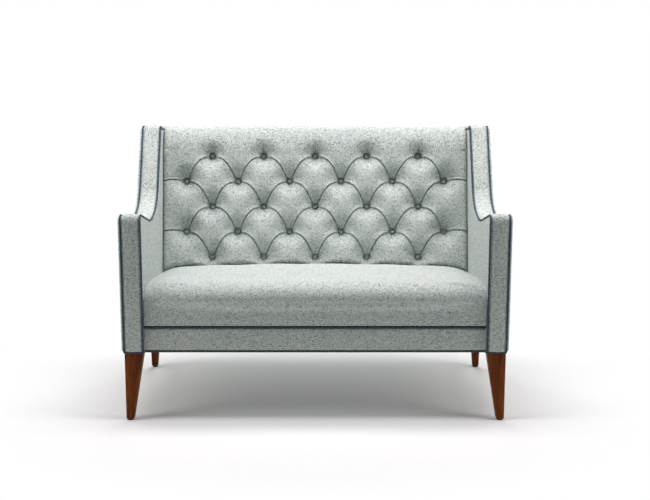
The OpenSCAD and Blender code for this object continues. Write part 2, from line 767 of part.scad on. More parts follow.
// A roll of wadding on the top rail, under the cover, from wing to wing
module back_top_roll() color(fabric_colour) settle() leaning()
    translate([-core_in, back_hessian_y, top_rail_s + back_rail_h])
        cube([2 * core_in, -back_hessian_y - back_panel_t, roll_top_s - top_rail_s - back_rail_h]);

// Covered buttons: a domed cap on a twine loop
button_seat = over * 3;
cap_r = (pow(button_d / 2, 2) + pow(button_h / 2, 2)) / button_h;

module button() {
    translate([0, 0, gap]) cylinder(d = shank_d, h = button_seat + over);
    translate([0, 0, button_seat]) rotate_extrude() intersection() {
        square([button_d / 2, button_h]);
        translate([0, button_h - cap_r]) circle(r = cap_r);
    }
}

module buttons() color(fabric_colour) settle()
    for (k = [1 : rows_n], j = [-side_cols : side_cols])
        if ((j + k + 1) % 2 == 0)
            translate(face_point(j * col_a, row_s(k), 0)) rotate([90 - pad_lean, 0, 0]) button();

// Arm pads and covers

module inside_arm() difference() {
    across(inner_x, inside_t) arm_outline(seat_inset, skirt_z);
    box(inner_x - over, core_in + over, rail_setback - gap, 2 * base_d, 0, rail_top + gap);
    leaning() translate([inner_x - over, back_hessian_y - gap, -back_len])
        cube([inside_t + 2 * over, 4 * back_rail_t, back_len + roll_top_s + gap]);
    leaning() translate([inner_x - over, -back_panel_t - gap, -back_len])
        cube([inside_t + 2 * over, 4 * back_rail_t, 3 * back_len]);
}
module inside_arm_right() color(fabric_colour) settle() inside_arm();
module inside_arm_left() color(fabric_colour) settle() mirror([1, 0, 0]) inside_arm();

module outside_arm() {
    across(core_out, outside_t) arm_outline(seat_inset, skirt_z);
    across(outer_pipe_x, panel_swell / 2) arm_outline(seat_inset + panel_swell / 2, skirt_z + panel_swell / 2);
    across(outer_pipe_x + panel_swell / 2, panel_swell / 2)
        arm_outline(min(front_r, nose_r, heel_r) - over, skirt_z + panel_swell);
}
module outside_arm_right() color(fabric_colour) settle() outside_arm();
module outside_arm_left() color(fabric_colour) settle() mirror([1, 0, 0]) outside_arm();

band_in = inner_pipe_x + pipe_r + gap;
band_w = outer_pipe_x - pipe_r - gap - band_in;

module arm_band() difference() {
    union() {
        across(band_in, band_w) difference() {
            arm_outline(band_out, skirt_z);
            arm_outline(seat_inset, skirt_z - over);
        }
        across(core_in, core_t) difference() {
            arm_outline(seat_inset, skirt_z);
            arm_outline(edge_pad, skirt_z - over);
        }
    }
    leaning() translate([core_in - arm_t, -back_panel_t - gap, -back_len])
        cube([2 * arm_t, 4 * back_rail_t, 3 * back_len]);
}
module arm_band_right() color(fabric_colour) settle() arm_band();
module arm_band_left() color(fabric_colour) settle() mirror([1, 0, 0]) arm_band();

module outside_back() color(fabric_colour) settle() intersection() {
    leaning() {
        translate([-core_out + gap, -back_panel_t, 0])
            cube([2 * (core_out - gap), back_panel_t, roll_top_s]);
        both_sides() translate([band_in, -back_panel_t, 0])
            cube([core_out - gap - band_in, back_panel_t, back_len]);
    }
    across(-core_out, 2 * core_out) arm_outline(seat_inset, skirt_z);
}

module front_border() color(fabric_colour) settle()
    box(-cushion_x, cushion_x, rail_setback - border_t, rail_setback, skirt_z, deck_z - gap);

// Piping

// Sweeps a round tube along points in the side view: each ring stands square to its two neighbours
pipe_sides = 8;

function heading(path, j) =
    let (v = path[min(j + 1, len(path) - 1)] - path[max(j - 1, 0)]) v / norm(v);

module side_tube(path) {
    n = len(path);
    k = pipe_sides;
    polyhedron(
        points = [for (j = [0 : n - 1], a = [0 : k - 1])
            let (t = heading(path, j), u = pipe_r * cos(360 * a / k), w = pipe_r * sin(360 * a / k))
            [w, path[j][0] - t[1] * u, path[j][1] + t[0] * u]],
        faces = concat(
            [for (j = [0 : n - 2], a = [0 : k - 1])
                let (p = j * k + a, q = j * k + (a + 1) % k)
                each [[p, p + k, q], [q, p + k, q + k]]],
            [for (a = [1 : k - 2]) [0, a, a + 1]],
            [for (a = [1 : k - 2]) [(n - 1) * k, (n - 1) * k + a + 1, (n - 1) * k + a]]
        ),
        convexity = 6
    );
}

// The inner piping stops behind the back pad, and the outer piping runs down the back to the base
inner_path = let (all = arm_points(0, skirt_z)) [for (j = [0 : len(all) - 8]) all[j]];
outer_path = arm_points(0, skirt_z);

module arm_piping(x, path) translate([x, 0, 0]) side_tube(path);
module arm_piping_inner_right() color(piping_colour) settle() arm_piping(inner_pipe_x, inner_path);
module arm_piping_inner_left() color(piping_colour) settle() arm_piping(-inner_pipe_x, inner_path);
module arm_piping_outer_right() color(piping_colour) settle() arm_piping(outer_pipe_x, outer_path);
module arm_piping_outer_left() color(piping_colour) settle() arm_piping(-outer_pipe_x, outer_path);

module cross_bar(x0, x1, y, z) translate([x0, y, z]) rotate([0, 90, 0]) cylinder(d = pipe_d, h = x1 - x0);

module seat_piping() color(piping_colour) settle() cross_bar(-cushion_x, cushion_x, seat_pipe_y, seat_pipe_z);

border_pipe_y = seat_pipe_y;
back_pipe_y = back_y(base_pipe_z);

module base_piping() color(piping_colour) settle() {
    cross_bar(-inner_x + pipe_r, inner_x - pipe_r, border_pipe_y, base_pipe_z);
    cross_bar(-outer_pipe_x, outer_pipe_x, back_pipe_y, base_pipe_z);
    both_sides() {
        cross_bar(inner_pipe_x, outer_pipe_x, 0, base_pipe_z);
        translate([outer_pipe_x, 0, base_pipe_z]) rotate([-90, 0, 0]) cylinder(d = pipe_d, h = back_pipe_y);
        for (p = [[inner_pipe_x, 0], [outer_pipe_x, 0], [outer_pipe_x, back_pipe_y]])
            translate([p[0], p[1], base_pipe_z]) sphere(d = pipe_d);
    }
}

front_rail();
back_rail();
side_rail_left();
side_rail_right();
centre_rail();
corner_blocks();
block_screws();
arm_post_left();
arm_post_right();
arm_rail_left();
arm_rail_right();
wing_board_left();
wing_board_right();
back_post_left();
back_post_right();
back_top_rail();
back_lower_rail();
back_uprights();
dowels();
leg_front_left();
leg_front_right();
leg_back_left();
leg_back_right();
leg_plates();
leg_bolts();
glides();
seat_springs();
spring_clips();
seat_hessian();
seat_felt();
back_webbing();
back_hessian();
dust_cover();
seat_cushion();
back_cushion();
back_top_roll();
buttons();
inside_arm_left();
inside_arm_right();
outside_arm_left();
outside_arm_right();
arm_band_left();
arm_band_right();
outside_back();
front_border();
arm_piping_inner_left();
arm_piping_inner_right();
arm_piping_outer_left();
arm_piping_outer_right();
seat_piping();
base_piping();
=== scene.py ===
import json
import math

import bpy
import numpy as np
from mathutils import Euler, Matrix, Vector, kdtree


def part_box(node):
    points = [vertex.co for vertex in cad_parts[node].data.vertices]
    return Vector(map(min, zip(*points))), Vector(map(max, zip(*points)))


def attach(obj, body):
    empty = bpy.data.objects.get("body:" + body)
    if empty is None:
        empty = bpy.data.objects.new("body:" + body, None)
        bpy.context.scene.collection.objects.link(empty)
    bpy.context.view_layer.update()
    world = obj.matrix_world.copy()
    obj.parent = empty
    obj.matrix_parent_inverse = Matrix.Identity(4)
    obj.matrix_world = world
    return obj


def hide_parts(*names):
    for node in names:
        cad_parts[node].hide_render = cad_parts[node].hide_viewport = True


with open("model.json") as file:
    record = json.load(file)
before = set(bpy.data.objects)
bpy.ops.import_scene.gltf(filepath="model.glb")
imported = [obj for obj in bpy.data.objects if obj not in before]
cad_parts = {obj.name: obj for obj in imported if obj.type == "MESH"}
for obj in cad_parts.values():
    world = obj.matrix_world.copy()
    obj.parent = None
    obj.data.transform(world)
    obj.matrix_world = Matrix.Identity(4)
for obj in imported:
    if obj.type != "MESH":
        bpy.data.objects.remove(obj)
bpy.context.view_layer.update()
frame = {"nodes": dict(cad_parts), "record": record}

# Sizes are in millimetres, and a place has x to the right, y backwards from the line of the piping on
# the arm fronts, and z up from the floor. place() turns them into scene metres.
MM = 0.001
PIPE_R, PIPE_SIDES = 3.3, 14
LINE_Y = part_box("arm_piping_outer_right")[0][1] / MM + PIPE_R


def place(points):
    """Millimetres measured from the piping line, as scene metres."""
    return (np.asarray(points, float) + (0, LINE_Y, 0)) * MM


# Driving sizes, the same as the frame's
FLOOR_TO_FRAME = 239
ARM_TOP = 718
WING_TOP = 959
BASE_DEPTH = 640
LEAN = math.radians(12.5)
OUTER_PIPE_X = 655
INNER_PIPE_X = 588.3
CUSHION_X = 584.7
DECK = 326
SKIRT = 247.4
GAP = 0.3
QUARTER = math.pi / 2


# Mesh builders

def new_piece(name, points, faces, uv, slot):
    """A mesh object at the origin from points in mm, faces as index lists and a (u, v) in metres each."""
    mesh = bpy.data.meshes.new(name)
    mesh.from_pydata(place(points).tolist(), [], [list(map(int, f)) for f in faces])
    corners = np.empty(len(mesh.loops), np.int32)
    mesh.loops.foreach_get("vertex_index", corners)
    layer = mesh.uv_layers.new(name="UVMap")
    layer.data.foreach_set("uv", np.asarray(uv, np.float32)[corners].ravel())
    mesh.polygons.foreach_set("use_smooth", np.full(len(mesh.polygons), True))
    mesh.materials.append(FINISH[slot])
    mesh.update()
    obj = bpy.data.objects.new(name, mesh)
    bpy.context.collection.objects.link(obj)
    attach(obj, "root")
    return obj


def grid_quads(rows, cols, close_rows=False, close_cols=False):
    """Quads of a rows by cols grid of points, with either way joined up on itself."""
    r = np.arange(rows if close_rows else rows - 1)[:, None]
    c = np.arange(cols if close_cols else cols - 1)[None, :]
    r1, c1 = (r + 1) % rows, (c + 1) % cols
    return np.stack([r * cols + c, r * cols + c1, r1 * cols + c1, r1 * cols + c], -1).reshape(-1, 4)


def rim_of(rows, cols):
    """Indices round the edge of a grid, first row first, in one closed run."""
    g = np.arange(rows * cols).reshape(rows, cols)
    return np.concatenate([g[0, :-1], g[:-1, -1], g[-1, :0:-1], g[:0:-1, 0]])


def capped_quads(rows, cols):
    """Faces of a bar made of rings of points: quads between the rings and a flat face at either end."""
    k = np.arange(cols)
    return [*grid_quads(rows, cols, close_cols=True), k[::-1], (rows - 1) * cols + k]


def run_length(points):
    """Length in mm along a path of points, or along each column of a grid, from its first row."""
    step = np.linalg.norm(np.diff(points, axis=0), axis=-1)
    return np.cumsum(np.concatenate([np.zeros_like(step[:1]), step]), axis=0)


def pairs(u, v):
    """Two arrays that fit one grid, as a list of (u, v)."""
    return np.stack(np.broadcast_arrays(u, v), -1).reshape(-1, 2)


def crowded(n):
    """Places from 0 to 1 that crowd up at both ends."""
    return (1 - np.cos(np.linspace(0, np.pi, n))) / 2


def rounded_edge(depth, width):
    """How high a rounded edge stands: 0 at the edge and 1 from width inwards."""
    return np.sqrt(np.clip(1 - (1 - np.minimum(1, depth / width)) ** 2, 0, 1))


def quarter_fall(t, share=1.0):
    """How far a quarter circle has fallen at t, from 0 at t = 0 to 1 at t = 1, or nearly so with a share
    below 1."""
    return 1 - np.sqrt(1 - share * t * t)


def backed_grid(name, grid, back_of, uv=None, flip=False):
    """A padded face with a flat back, in tweed: the grid of face points, a ring where back_of sends each
    rim point, and one flat face that closes the ring."""
    rows, cols = grid.shape[:2]
    rim = rim_of(rows, cols)
    flat = grid.reshape(-1, 3)
    ring = back_of(flat[rim])
    n, m = len(flat), len(rim)
    if uv is None:
        uv = np.stack([grid[..., 0], run_length(grid)], -1) * MM
    uv = uv.reshape(-1, 2)
    reach = np.linalg.norm(ring - flat[rim], axis=-1)[:, None] * MM
    k = np.arange(m)
    wall = np.stack([rim, n + k, n + (k + 1) % m, np.roll(rim, -1)], -1)
    faces = [*grid_quads(rows, cols), *wall, (n + k)[::-1]]
    if flip:
        faces = [f[::-1] for f in faces]
    return new_piece(name, np.concatenate([flat, ring]), faces,
                     np.concatenate([uv, uv[rim] + reach * (0, 1)]), "tweed")


def piping(name, path, normal=(1, 0, 0), closed=False):
    """Piping swept along a path: each ring stands square to the run. The last ring meets the first where
    the run is closed, and otherwise flat faces close its ends."""
    run = np.roll(path, -1, axis=0) - np.roll(path, 1, axis=0) if closed else np.gradient(path, axis=0)
    run /= np.linalg.norm(run, axis=1)[:, None]
    side = np.cross(run, normal)
    side /= np.linalg.norm(side, axis=1)[:, None]
    up = np.cross(side, run)
    a = np.linspace(0, 2 * np.pi, PIPE_SIDES, endpoint=False)
    ring = np.cos(a)[None, :, None] * side[:, None] + np.sin(a)[None, :, None] * up[:, None]
    points = (path[:, None] + PIPE_R * ring).reshape(-1, 3)
    uv = pairs(run_length(path)[:, None], a * PIPE_R) * MM
    faces = grid_quads(len(path), PIPE_SIDES, True, True) if closed else capped_quads(len(path), PIPE_SIDES)
    return new_piece(name, points, [f[::-1] for f in faces], uv, "piping")


# Side outline of an arm and its wing

# It has a round front corner, a straight fall, a sag, a sweep that turns up into the wing, a leaning
# edge, a round nose and heel, and the back panel's line down to the base.
FRONT_R, FALL, FALL_DEPTH = 20, math.radians(14.8), 204
SAG_R, RISE, SWEEP_R, WING = 336, math.radians(20), 157, math.radians(60.5)
NOSE_R, HEEL_R, WING_FALL = 16, 16, 18


def on_circle(c, r, a):
    return np.array([c[0] + r * np.cos(a), c[1] + r * np.sin(a)]).T


def back_y(z):
    return BASE_DEPTH + (z - FLOOR_TO_FRAME) * math.tan(LEAN)


def back_place(x, y, s):
    """A place in the leaning frame of the back: y towards the back panel's face, s up the slope."""
    return np.stack([x + 0 * s, BASE_DEPTH + y * math.cos(LEAN) + s * math.sin(LEAN),
                     FLOOR_TO_FRAME - y * math.sin(LEAN) + s * math.cos(LEAN)], -1)


front_c = np.array([FRONT_R, ARM_TOP - FRONT_R])
fall_start = on_circle(front_c, FRONT_R, QUARTER - FALL)
fall_end = np.array([FALL_DEPTH, fall_start[1] - (FALL_DEPTH - fall_start[0]) * math.tan(FALL)])
sag_c = on_circle(fall_end, SAG_R, QUARTER - FALL)
sweep_c = on_circle(sag_c, SAG_R - SWEEP_R, RISE - QUARTER)
sweep_end = on_circle(sweep_c, SWEEP_R, WING - QUARTER)
nose_side = on_circle((0, 0), NOSE_R, WING - QUARTER)
wing_run = (WING_TOP - NOSE_R - sweep_end[1] - nose_side[1]) / math.sin(WING)
nose_c = sweep_end + wing_run * np.array([math.cos(WING), math.sin(WING)]) + nose_side
heel_z = WING_TOP - WING_FALL - HEEL_R
heel_c = np.array([back_y(heel_z) - HEEL_R / math.cos(LEAN), heel_z])
top_tilt = math.atan2(WING_FALL, heel_c[0] - nose_c[0])


def arm_outline(inset, foot, step=6.0, back=True):
    """Points of the side outline every few mm, and the outward direction at each. The inset moves arcs that
    bulge inwards by its amount and arcs that are hollow outwards, so the line stays parallel."""
    arcs = [(front_c, FRONT_R - inset, math.pi, QUARTER - FALL),
            (sag_c, SAG_R + inset, -QUARTER - FALL, RISE - QUARTER),
            (sweep_c, SWEEP_R + inset, RISE - QUARTER, WING - QUARTER),
            (nose_c, NOSE_R - inset, WING + QUARTER, QUARTER - top_tilt)]
    if back:
        arcs.append((heel_c, HEEL_R - inset, QUARTER - top_tilt, -LEAN))
    pts, out = [], []

    def straight(a, b, d):
        n = max(2, int(np.linalg.norm(b - a) / step) + 1)
        t = np.linspace(0, 1, n)[1:-1, None]
        pts.append(a + (b - a) * t)
        out.append(np.repeat(d[None, :], len(t), 0))

    here = np.array([inset, foot])
    pts.append(here[None, :])
    out.append(np.array([[-1.0, 0.0]]))
    for c, r, a0, a1 in arcs:
        n = max(6, int(abs(a1 - a0) * r / step) + 1)
        a = np.linspace(a0, a1, n)
        arc = on_circle(c, r, a)
        d = np.stack([np.cos(a), np.sin(a)], -1) * (1 if a1 < a0 else -1)
        straight(pts[-1][-1], arc[0], d[0])
        pts.append(arc)
        out.append(d)
    if back:
        end = np.array([back_y(foot) - inset / math.cos(LEAN), foot])
        straight(pts[-1][-1], end, out[-1][-1])
        pts.append(end[None, :])
        out.append(out[-1][-1:])
    return np.concatenate(pts), np.concatenate(out)


# Materials

def hex_colour(code):
    """An sRGB hex value as linear RGBA."""
    c = np.array([int(code[i:i + 2], 16) / 255 for i in (1, 3, 5)])
    c = np.where(c <= 0.04045, c / 12.92, ((c + 0.055) / 1.055) ** 2.4)
    return (*c, 1.0)


def add(tree, kind, links=(), **settings):
    """Adds a shader node, sets its properties and input values, and links (input, source socket) pairs."""
    node = tree.nodes.new("ShaderNode" + kind)
    for key, value in settings.items():
        if hasattr(node, key):
            setattr(node, key, value)
        else:
            node.inputs[key.replace("_", " ")].default_value = value
    for name, source in links:
        tree.links.new(source, node.inputs[name])
    return node


def new_material(name):
    mat = bpy.data.materials.new(name)
    mat.use_nodes = True
    mat.node_tree.nodes.clear()
    return mat, mat.node_tree


def ramp(tree, source, stops):
    """A colour ramp from (place, hex) stops."""
    node = tree.nodes.new("ShaderNodeValToRGB")
    while len(node.color_ramp.elements) < len(stops):
        node.color_ramp.elements.new(0.5)
    for element, (place_at, code) in zip(node.color_ramp.elements, stops):
        element.position = place_at
        element.color = hex_colour(code)
    tree.links.new(source, node.inputs[0])
    return node.outputs[0]


def maths(tree, operation, a, b=None, c=None):
    """One arithmetic node, with sockets or numbers as its inputs."""
    node = tree.nodes.new("ShaderNodeMath")
    node.operation = operation
    for socket, value in zip(node.inputs, (a, b, c)):
        if value is None:
            continue
        if isinstance(value, (int, float)):
            socket.default_value = value
        else:
            tree.links.new(value, socket)
    return node.outputs[0]


def finish_material(tree, colour, roughness, bump_height, bump_distance, sheen=0.0, specular=0.3,
                    strength=1.0):
    """A Principled shader with a bump, wired to the output."""
    bump = add(tree, "Bump", [("Height", bump_height)], Strength=strength, Distance=bump_distance)
    shader = add(tree, "BsdfPrincipled", [("Base Color", colour), ("Normal", bump.outputs[0])])
    if isinstance(roughness, float):
        shader.inputs["Roughness"].default_value = roughness
    else:
        tree.links.new(roughness, shader.inputs["Roughness"])
    shader.inputs["Sheen Weight"].default_value = sheen
    shader.inputs["Sheen Roughness"].default_value = 0.5
    shader.inputs["Specular IOR Level"].default_value = specular
    add(tree, "OutputMaterial", [("Surface", shader.outputs[0])])
    return shader


TWEED_WEFT = [(0.15, "#819192"), (0.35, "#AEBAB6"), (0.5, "#C9D1CB"), (0.68, "#DADFD4"), (0.85, "#A4B3B2")]
TWEED_WARP = [(0.15, "#5F7070"), (0.35, "#889792"), (0.5, "#9EA8A0"), (0.68, "#A2A695"), (0.85, "#ACB7B3")]


def tweed_material():
    """Wool and cotton slub tweed in plain weave: pale weft over grey green warp. Weft yarns change between
    white, blue grey and cream along their length, which shows as short level streaks, and slubs leave dark
    and pale specks. Yarns are drawn 2.7 mm apart, as in a chunky basket of doubled yarns."""
    mat, tree = new_material("slub_tweed")
    yarn = 2.7 * MM
    uv = add(tree, "UVMap", uv_map="UVMap")
    xy = add(tree, "SeparateXYZ", [("Vector", uv.outputs[0])])
    u = maths(tree, "DIVIDE", xy.outputs[0], yarn)
    v = maths(tree, "DIVIDE", xy.outputs[1], yarn)
    cell_u, cell_v = maths(tree, "FLOOR", u), maths(tree, "FLOOR", v)
    parity = maths(tree, "FLOORED_MODULO", maths(tree, "ADD", cell_u, cell_v), 2.0)
    # A colour for each yarn that drifts along its length, and a random shade for each crossing
    weft_at = add(tree, "CombineXYZ", [("X", maths(tree, "MULTIPLY", u, 0.13)),
                                                 ("Y", maths(tree, "MULTIPLY", cell_v, 7.3))])
    warp_at = add(tree, "CombineXYZ", [("X", maths(tree, "MULTIPLY", cell_u, 5.7)),
                                                 ("Y", maths(tree, "MULTIPLY", v, 0.4))])
    cell_at = add(tree, "CombineXYZ", [("X", cell_u), ("Y", cell_v)])
    weft = add(tree, "TexNoise", [("Vector", weft_at.outputs[0])], Scale=1.0, Detail=3.0)
    warp = add(tree, "TexNoise", [("Vector", warp_at.outputs[0])], Scale=1.0, Detail=2.0)
    speck = add(tree, "TexWhiteNoise", [("Vector", cell_at.outputs[0])])
    shade = maths(tree, "MULTIPLY_ADD", speck.outputs[0], 0.62, -0.5)
    weft_colour = ramp(tree, maths(tree, "MULTIPLY_ADD", weft.outputs[0], 1.4, shade), TWEED_WEFT)
    warp_colour = ramp(tree, maths(tree, "MULTIPLY_ADD", warp.outputs[0], 1.4, shade), TWEED_WARP)
    # The pale weft covers most of the warp
    cover = maths(tree, "MULTIPLY_ADD", parity, 0.5, 0.48)
    colour = add(tree, "Mix", [("Factor", cover)], data_type="RGBA")
    tree.links.new(warp_colour, colour.inputs[6])
    tree.links.new(weft_colour, colour.inputs[7])
    # Rounded yarns: whichever is on top is high along its own middle
    round_u = maths(tree, "SINE", maths(tree, "MULTIPLY", maths(tree, "FRACT", u), math.pi))
    round_v = maths(tree, "SINE", maths(tree, "MULTIPLY", maths(tree, "FRACT", v), math.pi))
    height = add(tree, "Mix", [("Factor", parity)], data_type="FLOAT")
    tree.links.new(round_u, height.inputs[2])
    tree.links.new(round_v, height.inputs[3])
    finish_material(tree, colour.outputs[2], 0.95, height.outputs[0], 0.4 * MM, sheen=0.1, specular=0.08,
                    strength=0.4)
    return mat


def piping_material():
    """Cotton piping cut on the bias: plain weave running slantwise round a cord, matt, mid blue, with
    threads drawn 1.6 mm apart so that they show."""
    mat, tree = new_material("bias_cut_cotton")
    thread = 1.6 * MM
    uv = add(tree, "UVMap", uv_map="UVMap")
    turned = add(tree, "Mapping", [("Vector", uv.outputs[0])], Rotation=(0, 0, math.pi / 4))
    xy = add(tree, "SeparateXYZ", [("Vector", turned.outputs[0])])
    a = maths(tree, "SINE", maths(tree, "MULTIPLY", xy.outputs[0], 2 * math.pi / thread))
    b = maths(tree, "SINE", maths(tree, "MULTIPLY", xy.outputs[1], 2 * math.pi / thread))
    weave = maths(tree, "MULTIPLY", a, b)
    wander = add(tree, "TexNoise", [("Vector", uv.outputs[0])], Scale=180.0, Detail=3.0)
    value = maths(tree, "ADD", maths(tree, "MULTIPLY", weave, 0.12), wander.outputs[0])
    colour = ramp(tree, value, [(0.3, "#212F35"), (0.5, "#354852"), (0.72, "#587085")])
    finish_material(tree, colour, 0.85, weave, 0.25 * MM, sheen=0.1, specular=0.15, strength=0.5)
    return mat


def walnut_material():
    """Walnut with a satin lacquer: long brown grain that runs down the leg, darker streaks a few
    millimetres wide and fine open pores, so light catches it softly."""
    mat, tree = new_material("satin_walnut")
    at = add(tree, "TexCoord")
    grain = add(tree, "Mapping", [("Vector", at.outputs["Object"])], Scale=(60, 60, 5))
    pores = add(tree, "Mapping", [("Vector", at.outputs["Object"])], Scale=(700, 700, 28))
    streak = add(tree, "TexNoise", [("Vector", grain.outputs[0])], Scale=1.0, Detail=6.0,
                 Distortion=0.8, Roughness=0.6)
    pore = add(tree, "TexNoise", [("Vector", pores.outputs[0])], Scale=1.0, Detail=2.0)
    value = maths(tree, "ADD", maths(tree, "MULTIPLY", streak.outputs[0], 0.85),
                  maths(tree, "MULTIPLY", pore.outputs[0], 0.15))
    colour = ramp(tree, value, [(0.3, "#3C1904"), (0.45, "#5A2A0A"), (0.58, "#72390E"), (0.75, "#864A15")])
    rough = maths(tree, "MULTIPLY_ADD", pore.outputs[0], 0.2, 0.32)
    finish_material(tree, colour, rough, value, 0.2 * MM, specular=0.1, strength=0.25)
    return mat


def plain_material(name, dark, light, scale_mm, rough, metallic=0.0, stretch=(1, 1, 1), bump=0.1):
    """A quiet finish for hidden pieces: one noise pattern of a real size between two colours."""
    mat, tree = new_material(name)
    at = add(tree, "TexCoord")
    spread = add(tree, "Mapping", [("Vector", at.outputs["Object"])], Scale=stretch)
    noise = add(tree, "TexNoise", [("Vector", spread.outputs[0])], Scale=1 / (scale_mm * MM),
                Detail=4.0)
    colour = ramp(tree, noise.outputs[0], [(0.3, dark), (0.7, light)])
    shader = finish_material(tree, colour, rough, noise.outputs[0], bump * MM, specular=0.4)
    shader.inputs["Metallic"].default_value = metallic
    return mat


FINISH = {
    "tweed": tweed_material(),
    "piping": piping_material(),
    "walnut": walnut_material(),
    # Planed beech: pale, close grain with short flecks
    "beech": plain_material("planed_beech", "#B48F60", "#D6B688", 6, 0.6, stretch=(1, 1, 0.25)),
    # Zinc plated steel: thin bright plating over drawn wire and pressed plate
    "steel": plain_material("zinc_plated_steel", "#8E9498", "#B4B9BC", 3, 0.35, metallic=1.0),
    # Woven jute: dry, coarse and matt
    "jute": plain_material("woven_jute", "#8C744B", "#BBA377", 2, 0.95, bump=0.5),
    # Black non woven cloth: dull, with a fine fibrous surface
    "black_cloth": plain_material("black_spunbond_cloth", "#1C1C1D", "#2E2E30", 1.5, 0.95, bump=0.3),
    # Moulded nylon: dark, with the slightly soft sheen of its mould
    "glide": plain_material("moulded_nylon", "#1E1713", "#2C221C", 1, 0.5),
}
for part in frame["record"]["subparts"]:
    for held in frame["nodes"][part["node"]].material_slots:
        held.material = FINISH[part["material_slot"]]


# Slow waves and small lumps that a stuffed cover has, from a fixed seed

def unevenness(u, v, seed, size=140.0, count=14):
    """A sum of plane waves with lengths near size (mm), scaled to about -1 to 1."""
    rng = np.random.default_rng(seed)
    total = np.zeros(np.broadcast(u, v).shape)
    for _ in range(count):
        a, p = rng.uniform(0, 2 * np.pi, 2)
        k = 2 * np.pi / (size * rng.uniform(0.6, 1.8))
        total += np.sin(k * (np.cos(a) * u + np.sin(a) * v) + p)
    return total / math.sqrt(count) / 1.4


def eased(t):
    t = np.clip(t, 0, 1)
    return t * t * (3 - 2 * t)


# Seat

# It has a swollen front face, a round nose, and a top that falls to the back and rolls down beside the arms
SEAT_FRONT_T, SEAT_BACK_T, SEAT_NOSE = 152, 117, 52
CROWN_FRONT, CROWN_BACK = 4, 14
ROLL_W, ROLL_FRONT, ROLL_BACK = 105, 9, 28
PAD_LEAN = math.radians(13.8)
SEAT_DEPTH = 514
SEAT_PIPE = (17.3, 329.3)
SEAT_FACE_Y = 11.7
SEAT_SWELL = 4
BACK_DIP, BACK_DIP_W = 7, 26
LOW_START, LOW_FADE = 3.0, 150
SWELL_REACH, SWELL_PRESSURE, SWELL_FRAMES, EVEN_FACE = 4.0, 4.0, 20, 8


def seat_top(x, u):
    """Height of the seat's top: a straight fall from front to back, less the crown and the edge roll."""
    t = np.clip((np.abs(x) - (CUSHION_X - ROLL_W)) / ROLL_W, 0, 1)
    roll = (ROLL_FRONT + (ROLL_BACK - ROLL_FRONT) * u - 9 * np.sin(np.pi * u)) * quarter_fall(t)
    crown = (CROWN_FRONT + (CROWN_BACK - CROWN_FRONT) * u) * (np.abs(x) / CUSHION_X) ** 2
    return DECK + SEAT_FRONT_T + (SEAT_BACK_T - SEAT_FRONT_T) * u - crown - roll


def coordinates(mesh):
    co = np.empty(len(mesh.vertices) * 3)
    mesh.vertices.foreach_get("co", co)
    return co.reshape(-1, 3)


def evaluated(obj):
    return obj.evaluated_get(bpy.context.evaluated_depsgraph_get())


def blown_up(piece, sewn_down):
    """Let the cover swell as cloth over its stuffing: an even copy of it is simulated for some frames with
    pressure from inside and no gravity, and the piece takes over how far the copy moved. sewn_down tells
    from coordinates in mm which points stay put. No point moves further than SWELL_REACH millimetres."""
    copy = bpy.data.objects.new("even_copy", piece.data.copy())
    bpy.context.collection.objects.link(copy)
    remesh = copy.modifiers.new("even_faces", "REMESH")
    remesh.mode = "VOXEL"
    remesh.voxel_size = EVEN_FACE * MM
    even = bpy.data.meshes.new_from_object(evaluated(copy))
    copy.modifiers.remove(remesh)
    copy.data = even
    start = coordinates(even)
    group = copy.vertex_groups.new(name="sewn_down")
    group.add([int(i) for i in np.flatnonzero(sewn_down(start / MM))], 1.0, "REPLACE")
    cloth = copy.modifiers.new("swelling", "CLOTH").settings
    cloth.vertex_group_mass = group.name
    cloth.use_pressure = True
    cloth.uniform_pressure_force = SWELL_PRESSURE
    cloth.effector_weights.gravity = 0
    for at_frame in range(1, SWELL_FRAMES + 1):
        bpy.context.scene.frame_set(at_frame)
    moved = coordinates(evaluated(copy).data) - start
    bpy.context.scene.frame_set(1)
    bpy.data.objects.remove(copy)
    tree = kdtree.KDTree(len(start))
    for n, point in enumerate(start):
        tree.insert(point, n)
    tree.balance()
    still = coordinates(piece.data)
    move = np.zeros_like(still)
    for n, point in enumerate(still):
        near = tree.find_n(point, 8)
        weight = np.array([1 / (distance + 2 * MM) ** 2 for _, _, distance in near])
        move[n] = weight @ moved[[k for _, k, _ in near]] / weight.sum()
    far = np.linalg.norm(move, axis=1, keepdims=True) + 1e-9
    move *= SWELL_REACH * MM * np.tanh(far / (SWELL_REACH * MM)) / far
    move[sewn_down(still / MM)] = 0
    end = still + move
    end[:, 0] = np.clip(end[:, 0], still[:, 0].min(), still[:, 0].max())
    print(f"swelling of {piece.name} {far.max() / MM:.1f} mm at most, {far.mean() / MM:.2f} mm mean")
    piece.data.vertices.foreach_set("co", end.ravel())
    piece.data.update()


